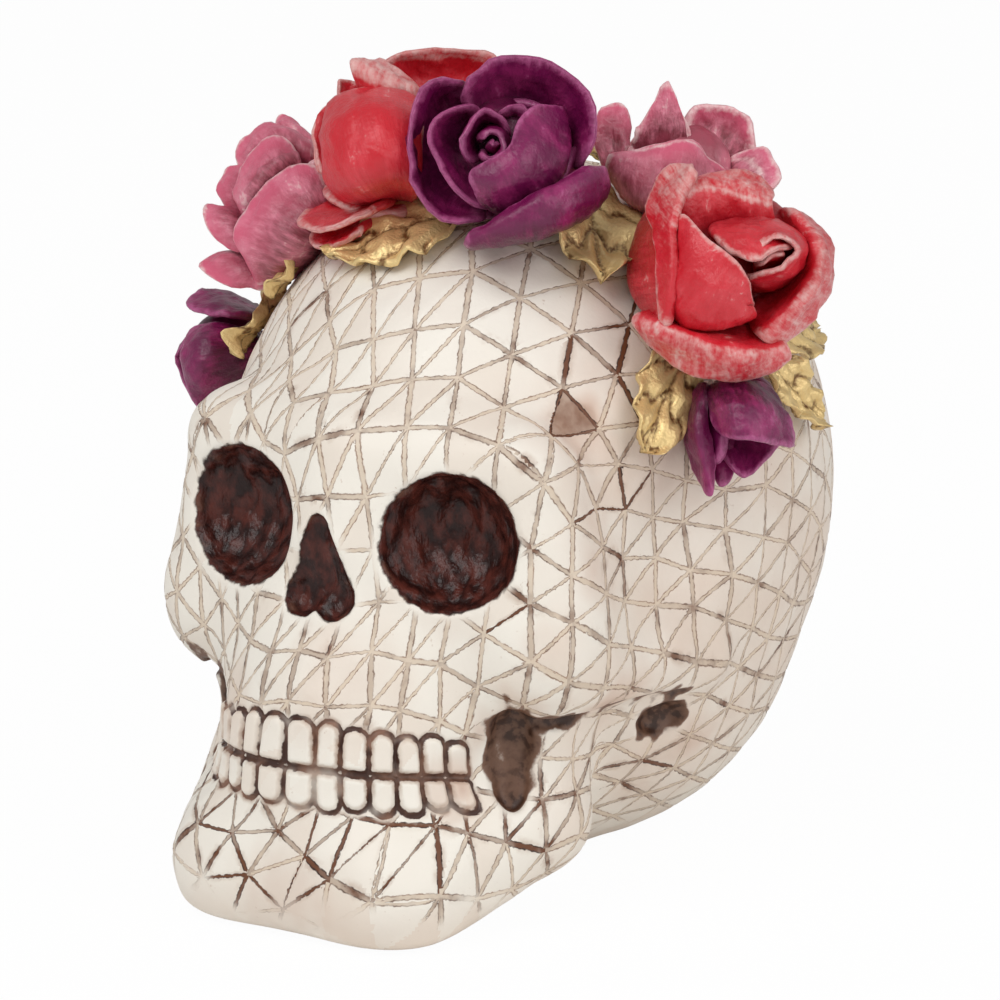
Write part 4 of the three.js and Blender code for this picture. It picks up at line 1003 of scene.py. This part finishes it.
def petal(size, turn, half, foot, length, inner, outer, lip, seed):
    """Points of one petal on an upright bloom, their distance from its rim, and their place for the brush."""
    radius, _, side, _ = CUSHION
    across, share = rounded_square(PETAL_SQUARENESS)
    rng = np.random.default_rng(seed)
    marks = np.linspace(0, 1, PETAL_MARKS)
    bend = np.radians(inner + (outer - inner) * step(0.12, 0.75, marks) + lip * step(0.76, 1.0, marks))
    stride = length * size / (PETAL_MARKS - 1)
    reach = foot * size + np.concatenate([[0], np.cumsum(np.sin(bend[1:]) * stride)])
    climb = np.concatenate([[0], np.cumsum(np.cos(bend[1:]) * stride)])
    lean = np.interp(share, marks, bend)
    wave = np.sin(across * rng.uniform(2.2, 3.6) + rng.uniform(0, 6.3)) * share**2 * PETAL_WAVE * size
    roll = PETAL_ROLL * size * np.abs(across) ** 4 * share * (lip > ROLLED_LIP)
    depth = side * bulge(radius) * PETAL_THICKNESS / 2 + across * PETAL_TUCK * size * share + wave + roll
    out = np.interp(share, marks, reach) + depth * np.cos(lean)
    rise = np.interp(share, marks, climb) - depth * np.sin(lean)
    rise += size * PETAL_RUFFLE * share * np.sin(across * rng.uniform(1.5, 3.5) + rng.uniform(0, 6.3))
    tip = (across - rng.uniform(-0.5, 0.5)) / rng.uniform(0.22, 0.4)
    rise += size * rng.uniform(0.03, 0.12) * np.exp(-tip * tip) * share**4 * (length > LONG_PETAL)
    around = np.radians(turn + across * half)
    points = np.column_stack([out * np.cos(around), out * np.sin(around), rise])
    rim = (1 - radius) * length * size / 2 + FOOT_FROM_RIM * step(0.55, 0.2, share)
    return points, rim, np.column_stack([across * half / STROKE_DEGREES, share, side])


def carved_petal(curves, seed, fold=1.0, bare=0.0):
    """Points of one carved petal in its viewer's frame, their distance from its rim, and their place."""
    radius, _, side, _ = CUSHION
    across, share = rounded_square(CARVED_SQUARENESS)
    curves = [np.array(c, float)[:, None] for c in curves]

    def lay(u, s):
        return through(np.array([through(c, u) for c in curves]), s)

    u = (across * CARVED_OVERHANG + 1) / 2
    near = 0.02
    middle = lay(u, share)
    sideways = lay(u + near, share) - lay(u - near, share)
    normal = unit(np.cross(sideways, lay(u, share + near) - lay(u, share - near)))
    length = np.linalg.norm(np.diff([c[:, 0].mean(0) for c in curves], axis=0), axis=1).sum()
    thick = PETAL_THICKNESS * (1.05 - 0.55 * share)
    wave = CARVED_WAVE * ripple(middle, 6, seed) * share**2 + CARVED_GRAIN * ripple(middle, 2.6, seed + 50)
    points = middle + normal * (side * bulge(radius) * thick / 2 + wave)[:, None]
    rim = (1 - radius) * length / 2 + FOOT_FROM_RIM * step(0.6, 0.3, share)
    if fold < 1:
        bare = np.interp(across, [-1, 1], np.broadcast_to(bare, 2)) + FOLD_FADE * np.maximum(fold - share, 0)
        rim = np.minimum(rim, np.minimum(np.abs(share - fold) * length + FOLD_RIM, bare))
    width = np.linalg.norm(np.diff(curves[-1][:, 0], axis=0), axis=1).sum()
    return points, rim, np.column_stack([across * width / STROKE_WIDTH, share, side])


def build_bloom(form, material):
    """One rose or bud: cupped petals all round, carved ones on the side that is seen, and two domes."""
    size = form["radius"] * form["core"]
    root = cast_rays(GARLAND_MIDDLE, [bearing(*form["seat"])])
    foot = (root + unit(slope(skin, root)) * form["lift"])[0]
    axis = bearing(*form["facing"])
    right = unit(np.cross([0, 0, 1], axis))
    pose = np.stack([right, np.cross(axis, right), axis])
    points, rims, places = [], [], []
    for count, values in enumerate(form["petals"]):
        spots, rim, place = petal(size, *values, seed=count + int(size * 10))
        points.append(spots @ pose + foot)
        rims.append(rim)
        places.append(place + [STROKE_STEP * count, 0, 0])
    for count, carved in enumerate(CARVED[form["node"]], len(points)):
        spots, rim, place = carved_petal(**carved, seed=count)
        points.append(spots @ VIEWER + root)
        rims.append(rim)
        places.append(place + [STROKE_STEP * count, 0, 0])
    # a dome for the heart behind the carved petals, and one at the root that closes the bloom below
    radius, angle, side, disc = CUSHION
    dome = np.column_stack([radius * np.cos(angle), radius * np.sin(angle), side * np.sqrt(1 - radius**2)])
    *middle, reach = form["heart"]
    points.append((dome * [reach, reach, reach * HEART_FLATNESS] + middle) @ VIEWER + root)
    points.append((dome * ROOT_SHARE) * size + root)
    rims.append(np.full(2 * len(side), NO_RIM))
    # share 0 gives both domes the colour of the petals' painted shade
    places.append(np.tile([0.0, 0.0, 1.0], (2 * len(side), 1)))
    faces = [tuple(i + part * len(side) for i in face) for part in range(len(points)) for face in disc]
    points = np.concatenate(points)
    points += unit(points - foot) * (CAST_GRAIN * ripple(points, CAST_GRAIN_SIZE, 9))[:, None]
    bloom = new_mesh(form["node"] + "_casting", points, faces, material)
    face_outward(bloom)
    store(bloom.data, "rim", np.concatenate(rims))
    store(bloom.data, "place", np.concatenate(places))
    return bloom


# Gold leaves laid on the skull: name, bearings of foot and tip, and width

LEAF_THICKNESS = 1.2
LEAF_CURL = 1.3
LEAF_LIFT = 0.4
LEAF_NOTCHES, NOTCH_DEPTH = 26, 0.07
LEAF_PLEATS, PLEAT_SLANT, PLEAT_HEIGHT = 3.1, 0.8, 0.9
LEAF_CRUMPLE = 0.9
GLUE_GAP = 0.3
LEAVES = [
    ("front_leaf_1", (10, 61), (-23, 46), 19), ("front_leaf_2", (66, 71), (50, 45), 19),
    ("front_leaf_3", (68, 32), (52, 15), 13), ("front_leaf_4", (-58, 56), (-44, 36), 12),
    ("front_leaf_5", (-76, 34), (-58, 22), 10), ("back_leaf_1", (98, 32), (128, 25), 13),
    ("back_leaf_2", (92, 28), (106, 11), 11), ("back_leaf_3", (122, 50), (148, 42), 12),
    ("back_leaf_4", (-150, 82), (178, 60), 13), ("back_leaf_5", (-100, 68), (-138, 56), 13),
    ("back_leaf_6", (-98, 36), (-126, 28), 12),
]


def build_leaf(name, foot, tip, width, seed, material):
    """One notched and pleated leaf that lies on the skull from its foot to its tip."""
    radius, angle, side, faces = CUSHION
    ends = cast_rays(GARLAND_MIDDLE, [bearing(*foot), bearing(*tip)])
    run = ends[1] - ends[0]
    aside = unit(np.cross(run, slope(skin, ends[:1])[0]))
    y = radius * np.sin(angle)
    share = (y + 1) / 2
    across = np.clip(radius * np.cos(angle) / np.sqrt(np.maximum(1 - y * y, 1e-4)), -1, 1)
    notches = 1 + NOTCH_DEPTH * np.sin(share * LEAF_NOTCHES + seed) * np.abs(across) ** 5
    breadth = width / 2 * (1.15 - 0.6 * share) * np.maximum(1 - np.abs(y) ** 2.4, 0) ** 0.75 * notches
    spots = ends[0] + run * share[:, None] + aside * (across * breadth)[:, None]
    wander = seed + 0.5 * np.sin(9 * across + seed)
    pleat = np.abs(np.sin(math.pi * (share * LEAF_PLEATS - np.abs(across) * PLEAT_SLANT) + wander))
    crease = np.minimum(pleat, 3 * np.abs(across) + 0.15)
    flat = cast_rays(GARLAND_MIDDLE, spots - GARLAND_MIDDLE)
    way = unit(slope(skin, flat))
    crumple = LEAF_CRUMPLE * ripple(flat, 6, seed) * (share + across**2)
    curl = LEAF_CURL * (share**2 + across**2 + PLEAT_HEIGHT * crease)
    height = GLUE_GAP + LEAF_LIFT + curl + crumple
    height = np.maximum(height, GLUE_GAP) + LEAF_THICKNESS / 2 * (1 + side * bulge(radius))
    leaf = new_mesh(name + "_casting", flat + way * height[:, None], faces, material)
    face_outward(leaf)
    store(leaf.data, "crease", crease)
    store(leaf.data, "rim", (1 - radius) * width / 2)
    return leaf


# Materials: what their nodes share

PAINT_IOR = 1.5


def fill(tree, node, inputs):
    """Links or sets inputs of a node, by name or by number."""
    for key, value in inputs.items():
        if isinstance(value, bpy.types.NodeSocket):
            tree.links.new(value, node.inputs[key])
        else:
            node.inputs[key].default_value = value


def add(tree, kind, inputs=(), out=None, **settings):
    """Adds a shader node with its settings and inputs, in order or by name, and returns one output."""
    node = tree.nodes.new("ShaderNode" + kind)
    for name, value in settings.items():
        setattr(node, name, value)
    fill(tree, node, inputs if isinstance(inputs, dict) else dict(enumerate(inputs)))
    return node.outputs[out] if out is not None else next(o for o in node.outputs if o.enabled)


def new_material(name):
    """A material with a Principled shader on its output."""
    made = bpy.data.materials.new(name)
    made.use_nodes = True
    return made, made.node_tree, made.node_tree.nodes["Principled BSDF"]


def patterns(tree, **sizes):
    """Uneven patterns all over a casting: for each, its size in mm, its detail and its stretch upright."""
    place = add(tree, "TexCoord", out="Object")
    made = {}
    for name, (size, detail, upright) in sizes.items():
        spot = add(tree, "Mapping", {"Vector": place, "Scale": (1, 1, upright)})
        scale = 1 / (size * MM)
        made[name] = add(tree, "TexNoise", {"Vector": spot, "Scale": scale, "Detail": detail}, out="Fac")
    return made


def mask(tree, *parts):
    """Product of node outputs and smooth ramps: an output, its low and high, and the values there."""
    whole = None
    for part in parts:
        if isinstance(part, tuple):
            part = add(tree, "MapRange", part, interpolation_type="SMOOTHSTEP")
        whole = add(tree, "Math", (whole, part), operation="MULTIPLY") if whole else part
    return whole


def total(tree, *parts):
    """Sum of values, each times its weight."""
    whole = 0.0
    for value, weight in parts:
        whole = add(tree, "Math", (value, weight, whole), operation="MULTIPLY_ADD")
    return whole


def coats(tree, base, layers):
    """Paint laid on a base colour in coats, each where its mask is."""
    colour = rgb(base)
    for where, paint in layers:
        paint = rgb(paint) if isinstance(paint, str) else paint
        colour = add(tree, "Mix", {0: where, 6: colour, 7: paint}, data_type="RGBA")
    return colour


# Skull's paint

def wash_coats(tree, noise):
    """Sepia wash wiped over the cream, and painted shade: brown where both are thick, flecked, and left on
    some tiles.
    """
    # the wash attribute holds painted shade in dips and along the foot as well as the wash
    left = add(tree, "Attribute", out="Fac", attribute_name="wash")
    tint = add(tree, "Attribute", out="Fac", attribute_name="tile_tint")
    wash = mask(tree, left, (noise["cloud"], 0.2, 0.75, 0.45, 1.25))
    thick_wash_and_shade = mask(tree, (wash, 0.8, 1.25, 0, 0.55))
    fleck = mask(tree, (noise["grain"], 0.68, 0.76), (noise["smear"], 0.45, 0.65, 0, 0.4))
    tinted = total(tree, (tint, 0.35))
    brown = mask(tree, (tint, 1.2, 1.8), (noise["smear"], 0.3, 0.65, 0.5, 1))
    return [(wash, "#d3b8a6"), (thick_wash_and_shade, "#8a6048"), (fleck, "#b08c70"), (tinted, "#dcc3ae"),
            (brown, "#86604a")]


def line_coats(tree, noise):
    """Incised lines, the groove's floor paler than its edges, and wash smeared beside the dirtiest."""
    half_width = add(tree, "Attribute", out="Fac", attribute_name="line_half")
    fade = add(tree, "Attribute", out="Fac", attribute_name="line_fade")
    dirt = add(tree, "Attribute", out="Fac", attribute_name="line_dirt")
    gaps = add(tree, "Attribute", out="Vector", attribute_name="line_gap")
    gaps = add(tree, "VectorMath", (gaps,), operation="ABSOLUTE")
    first, second, third = add(tree, "SeparateXYZ", (gaps,)).node.outputs
    gap = add(tree, "Math", (first, second), operation="MINIMUM")
    gap = add(tree, "Math", (gap, third), operation="MINIMUM")
    gap = total(tree, (gap, 1), (mask(tree, (noise["grain"], 0.25, 0.75, -0.12, 0.12)), 1))
    gap = add(tree, "Math", (gap, half_width), operation="DIVIDE")
    dirt = total(tree, (dirt, 1), (mask(tree, (noise["smear"], 0.44, 0.7, -0.08, 0.36)), 1))
    floor = mask(tree, (gap, 1.15, 0.8), fade)
    edge = mask(tree, (gap, 1.45, 1.15), (gap, 0.55, 0.95), fade, (noise["speckle"], 0.36, 0.56, 0.25, 1))
    halo = mask(tree, (gap, 4.5, 1.2), (dirt, 0.45, 0.9), fade, (noise["smear"], 0.45, 0.7, 0, 0.5))
    full = mask(tree, (dirt, 0.6, 1, 0.75, 1))
    floor_paint = coats(tree, "#dac6ae", [(mask(tree, (dirt, 0.1, 1)), "#6c3f24")])
    edge_paint = coats(tree, "#9a7054", [(mask(tree, (dirt, 0, 0.9)), "#3e1f10")])
    layers = [(halo, "#ab8b73"), (mask(tree, floor, full), floor_paint), (mask(tree, edge, full), edge_paint)]
    return floor, layers


def tooth_coats(tree, noise):
    """Staining and painted shade round the teeth's edges, and a broken dark outline between them."""
    teeth = add(tree, "Attribute", out="Fac", attribute_name="tooth_gap")
    teeth = total(tree, (teeth, 1), (mask(tree, (noise["chip"], 0.3, 0.7, -0.12, 0.12)), 1))
    # a tan band along each tooth's edge: partly staining, partly painted shade where the crown rounds off
    stain_and_shade = mask(tree, (teeth, 0.9, 0.2), (teeth, -1.4, -0.6), (noise["smear"], 0.35, 0.66, 0.1, 0.65))
    outline = mask(tree, (teeth, 0.26, 0.08), (teeth, -0.75, -0.55), (noise["wear"], 0.55, 0.72, 1, 0.3))
    ink = coats(tree, "#45271c", [(mask(tree, (noise["smear"], 0.4, 0.66)), "#8a6552")])
    return [(stain_and_shade, "#a98871"), (outline, ink)]


def hollow_coats(tree, noise):
    """Crumbly brown in the cheek and arch hollows, darker further in as painted shade, and dark brown in eyes
    and nose, scuffed at the rim.
    """
    shade = add(tree, "Attribute", out="Fac", attribute_name="shade_depth")
    depth = add(tree, "Attribute", out="Fac", attribute_name="hollow_depth")
    shade = total(tree, (shade, 1), (mask(tree, (noise["mottle"], 0.25, 0.75, -0.7, 0.7)), 1))
    depth = total(tree, (depth, 1), (mask(tree, (noise["rag"], 0.3, 0.7, -0.2, 0.2)), 1))
    shaded = mask(tree, (shade, -0.2, 0.7, 0, 0.94))
    # darker brown further into the hollows is painted shade, mottled into crumbly specks
    crumbly_shade = mask(tree, (shade, 0.2, 2.6), (noise["crumb"], 0.4, 0.6, 0.3, 1))
    painted = mask(tree, (depth, 0.2, 0.5))
    rim = mask(tree, (depth, 1.8, 0.4), (noise["mottle"], 0.5, 0.68, 0, 0.7))
    brown = coats(tree, "#260e0b", [(mask(tree, (noise["brush"], 0.35, 0.7)), "#5a2a22"), (rim, "#7a5546")])
    return painted, [(shaded, "#683e22"), (crumbly_shade, "#3a1e0d"), (painted, brown)]


def skull_paint():
    """Cast resin under cream satin paint: a soft sheen, matter than the brown brushed into the hollows."""
    made, tree, shader = new_material("cream painted resin")
    # grain and speckle stand for finer brush marks, drawn coarse enough to show
    noise = patterns(tree, cloud=(14, 3, 1), grain=(0.9, 3, 1), smear=(5, 4, 1), speckle=(1.6, 3, 1),
                     chip=(1.3, 3, 1), wear=(7, 2, 1), mottle=(3.2, 5, 1), crumb=(1.5, 5, 1), rag=(2.4, 3, 1),
                     brush=(2, 4, 0.6))
    floor, lines = line_coats(tree, noise)
    painted, hollows = hollow_coats(tree, noise)
    colour = coats(tree, "#f3ede2", wash_coats(tree, noise) + lines + tooth_coats(tree, noise) + hollows)
    # roughness and specular level both fall from the first value to the second in the painted hollows
    gloss = add(tree, "Mix", {0: painted, 2: 0.5, 3: 0.3}, data_type="FLOAT")
    height = total(tree, (floor, -0.12), (noise["grain"], 0.05), (mask(tree, noise["brush"], painted), 0.7))
    bump = add(tree, "Bump", {"Height": height, "Distance": MM, "Strength": 0.9})
    fill(tree, shader, {"Base Color": colour, "Roughness": gloss, "Specular IOR Level": gloss,
                        "IOR": PAINT_IOR, "Normal": bump})
    return made


# Paint of the roses: colours of the painted shade low in the petal, of its body, of its painted highlights
# and of its lip, the strength of the lip's dry brush, and the share of the petal's length at which the
# painted shade ends
PETAL_COLOURS = dict(
    purple=("#35061f", "#720f4a", "#9c2a66", "#c4689a", 0.7, 0.75),
    red=("#8f101c", "#cc1f2d", "#de404b", "#e6c0ba", 0.85, 0.5),
    pink=("#76343a", "#d85f7c", "#e8889e", "#f4d6d4", 0.9, 0.92),
)
STROKE_FINENESS = (6, 4, 3)


def petal_paint(name):
    """Satin paint on a cast petal: painted shade down in the folds, painted highlights in patches, lips
    scuffed with a paler dry brush.
    """
    fold_shade_colour, body, glow, pale, strength, fold = PETAL_COLOURS[name]
    made, tree, shader = new_material(name + " painted resin")
    noise = patterns(tree, grain=(0.9, 5, 1), patch=(6, 2, 1))
    grain, patch = noise["grain"], noise["patch"]
    rim = add(tree, "Attribute", out="Fac", attribute_name="rim")
    place = add(tree, "Attribute", out="Vector", attribute_name="place")
    share = add(tree, "SeparateXYZ", (place,), out="Y")
    along = add(tree, "VectorMath", (place, STROKE_FINENESS), operation="MULTIPLY")
    streaks = {"Vector": along, "Scale": 1.0, "Detail": 6.0, "Roughness": 0.7}
    stroke = add(tree, "TexNoise", streaks, out="Fac")
    # painted shade low in each petal, towards the heart of the bloom
    sunk_shade = mask(tree, (share, fold, fold - 0.5), (patch, 0.3, 0.6, 0.6, 1))
    # one pattern places the patches of painted highlight and the paler scuffs of wear
    highlight_and_wear = total(tree, (patch, 0.6), (stroke, 0.6))
    painted_highlight = mask(tree, (highlight_and_wear, 0.5, 0.78, 0, 0.8))
    lip = mask(tree, (rim, 2.9, 0.1))
    dry_brush = total(tree, (lip, 1), (stroke, 1.3), (grain, 0.65))
    dry_brush = mask(tree, (dry_brush, 1.475, 2.275, 0, strength))
    scuff = mask(tree, (total(tree, (highlight_and_wear, 1), (grain, 0.5)), 0.98, 1.1, 0, 0.5 * strength))
    colour = coats(tree, body, [(sunk_shade, fold_shade_colour), (painted_highlight, glow), (dry_brush, pale), (scuff, pale)])
    height = total(tree, (grain, 0.8), (stroke, 1))
    bump = add(tree, "Bump", {"Height": height, "Distance": 0.3 * MM, "Strength": 0.8})
    fill(tree, shader, {"Base Color": colour, "Roughness": 0.28, "IOR": PAINT_IOR, "Normal": bump})
    return made


def gold_paint():
    """Antique gold paint on cast leaves, brown in the creases as wash and as painted shade, and bright on the
    ridges.
    """
    made, tree, shader = new_material("gold painted resin")
    grain = patterns(tree, grain=(0.8, 4, 1))["grain"]
    crease = add(tree, "Attribute", out="Fac", attribute_name="crease")
    crease = total(tree, (crease, 1), (mask(tree, (grain, 0.2, 0.8, -0.15, 0.15)), 1))
    # the brown in the creases is partly antique wash and partly painted shade
    colour = coats(tree, "#74502a", [(mask(tree, (crease, 0, 0.45)), "#ecce90")])
    bump = add(tree, "Bump", {"Height": grain, "Distance": 0.35 * MM, "Strength": 0.8})
    fill(tree, shader, {"Base Color": colour, "Metallic": 0.4, "Roughness": 0.32, "Normal": bump})
    return made


# Studio, in metres, with the camera's sensor and the floor in millimetres

VIEW_DISTANCE, TARGET_HEIGHT = 0.7, 0.062
SENSOR_WIDTH, FRAMES_PER_METRE = 36, 5.6
FRAME_SHIFT = 0.001
LAMP_TARGET = Vector((0, 0, 0.06))
WORLD_LIGHT = 0.42
FLOOR_GLOW = 0.97
FLOOR_HALF, FLOOR_DROP = 4000, 0.2


def camera():
    """The photograph's camera."""
    data = bpy.data.cameras.new("camera")
    data.sensor_width = SENSOR_WIDTH
    data.lens = SENSOR_WIDTH * VIEW_DISTANCE * FRAMES_PER_METRE
    data.shift_x = FRAME_SHIFT
    made = bpy.data.objects.new("camera", data)
    made.location = VIEW_OUT * VIEW_DISTANCE + np.array([0, 0, TARGET_HEIGHT])
    made.rotation_euler = Vector(-VIEW_OUT).to_track_quat("-Z", "Y").to_euler()
    bpy.context.scene.collection.objects.link(made)
    bpy.context.scene.camera = made


def lamp(name, azimuth, elevation, distance, size, watts):
    """A square lamp that faces the object."""
    data = bpy.data.lights.new(name, "AREA")
    data.size = size
    data.energy = watts
    made = bpy.data.objects.new(name, data)
    way = Vector(bearing(azimuth, elevation))
    made.location = way * distance + LAMP_TARGET
    made.rotation_euler = (-way).to_track_quat("-Z", "Y").to_euler()
    bpy.context.scene.collection.objects.link(made)


def white_card():
    """Smooth white card, lit to white where the camera sees it, with the object's shadow faint on it."""
    made, tree, shader = new_material("white card")
    fill(tree, shader, {"Base Color": rgb("#fbfbfa"), "Roughness": 0.9})
    seen = add(tree, "LightPath", out="Is Camera Ray")
    glow = add(tree, "Emission", {"Strength": seen})
    mixed = add(tree, "MixShader", (total(tree, (seen, FLOOR_GLOW)), shader.outputs[0], glow))
    fill(tree, tree.nodes["Material Output"], {"Surface": mixed})
    return made


def studio():
    """White floor, soft light all round and two lamps."""
    corners = [(x * FLOOR_HALF, y * FLOOR_HALF, 0) for x, y in ((-1, -1), (1, -1), (1, 1), (-1, 1))]
    floor = new_mesh("floor", corners, [(0, 1, 2, 3)], white_card())
    floor.location.z = -FLOOR_DROP * MM
    world = bpy.data.worlds.new("soft box")
    bpy.context.scene.world = world
    world.use_nodes = True
    tree = world.node_tree
    seen = add(tree, "LightPath", out="Is Camera Ray")
    strength = add(tree, "Mix", {0: seen, 2: WORLD_LIGHT, 3: 1.0}, data_type="FLOAT")
    fill(tree, tree.nodes["Background"], {"Color": rgb("#ffffff"), "Strength": strength})
    lamp("key", azimuth=-6, elevation=48, distance=1.1, size=0.7, watts=5.4)
    lamp("fill", azimuth=88, elevation=26, distance=1.2, size=0.9, watts=4.6)
    bpy.context.scene.view_settings.view_transform = "Standard"


# The pieces

skull = build_skull(skull_paint())
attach(skull, "root")
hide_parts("skull")
paints = {name: petal_paint(name) for name in PETAL_COLOURS}
for form in BLOOMS:
    bloom = build_bloom(form, paints[form["paint"]])
    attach(bloom, "root")
    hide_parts(form["node"])
gold = gold_paint()
for count, (name, foot, tip, width) in enumerate(LEAVES):
    leaf = build_leaf(name, foot, tip, width, count, gold)
    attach(leaf, "root")
    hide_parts(name)
studio()
camera()
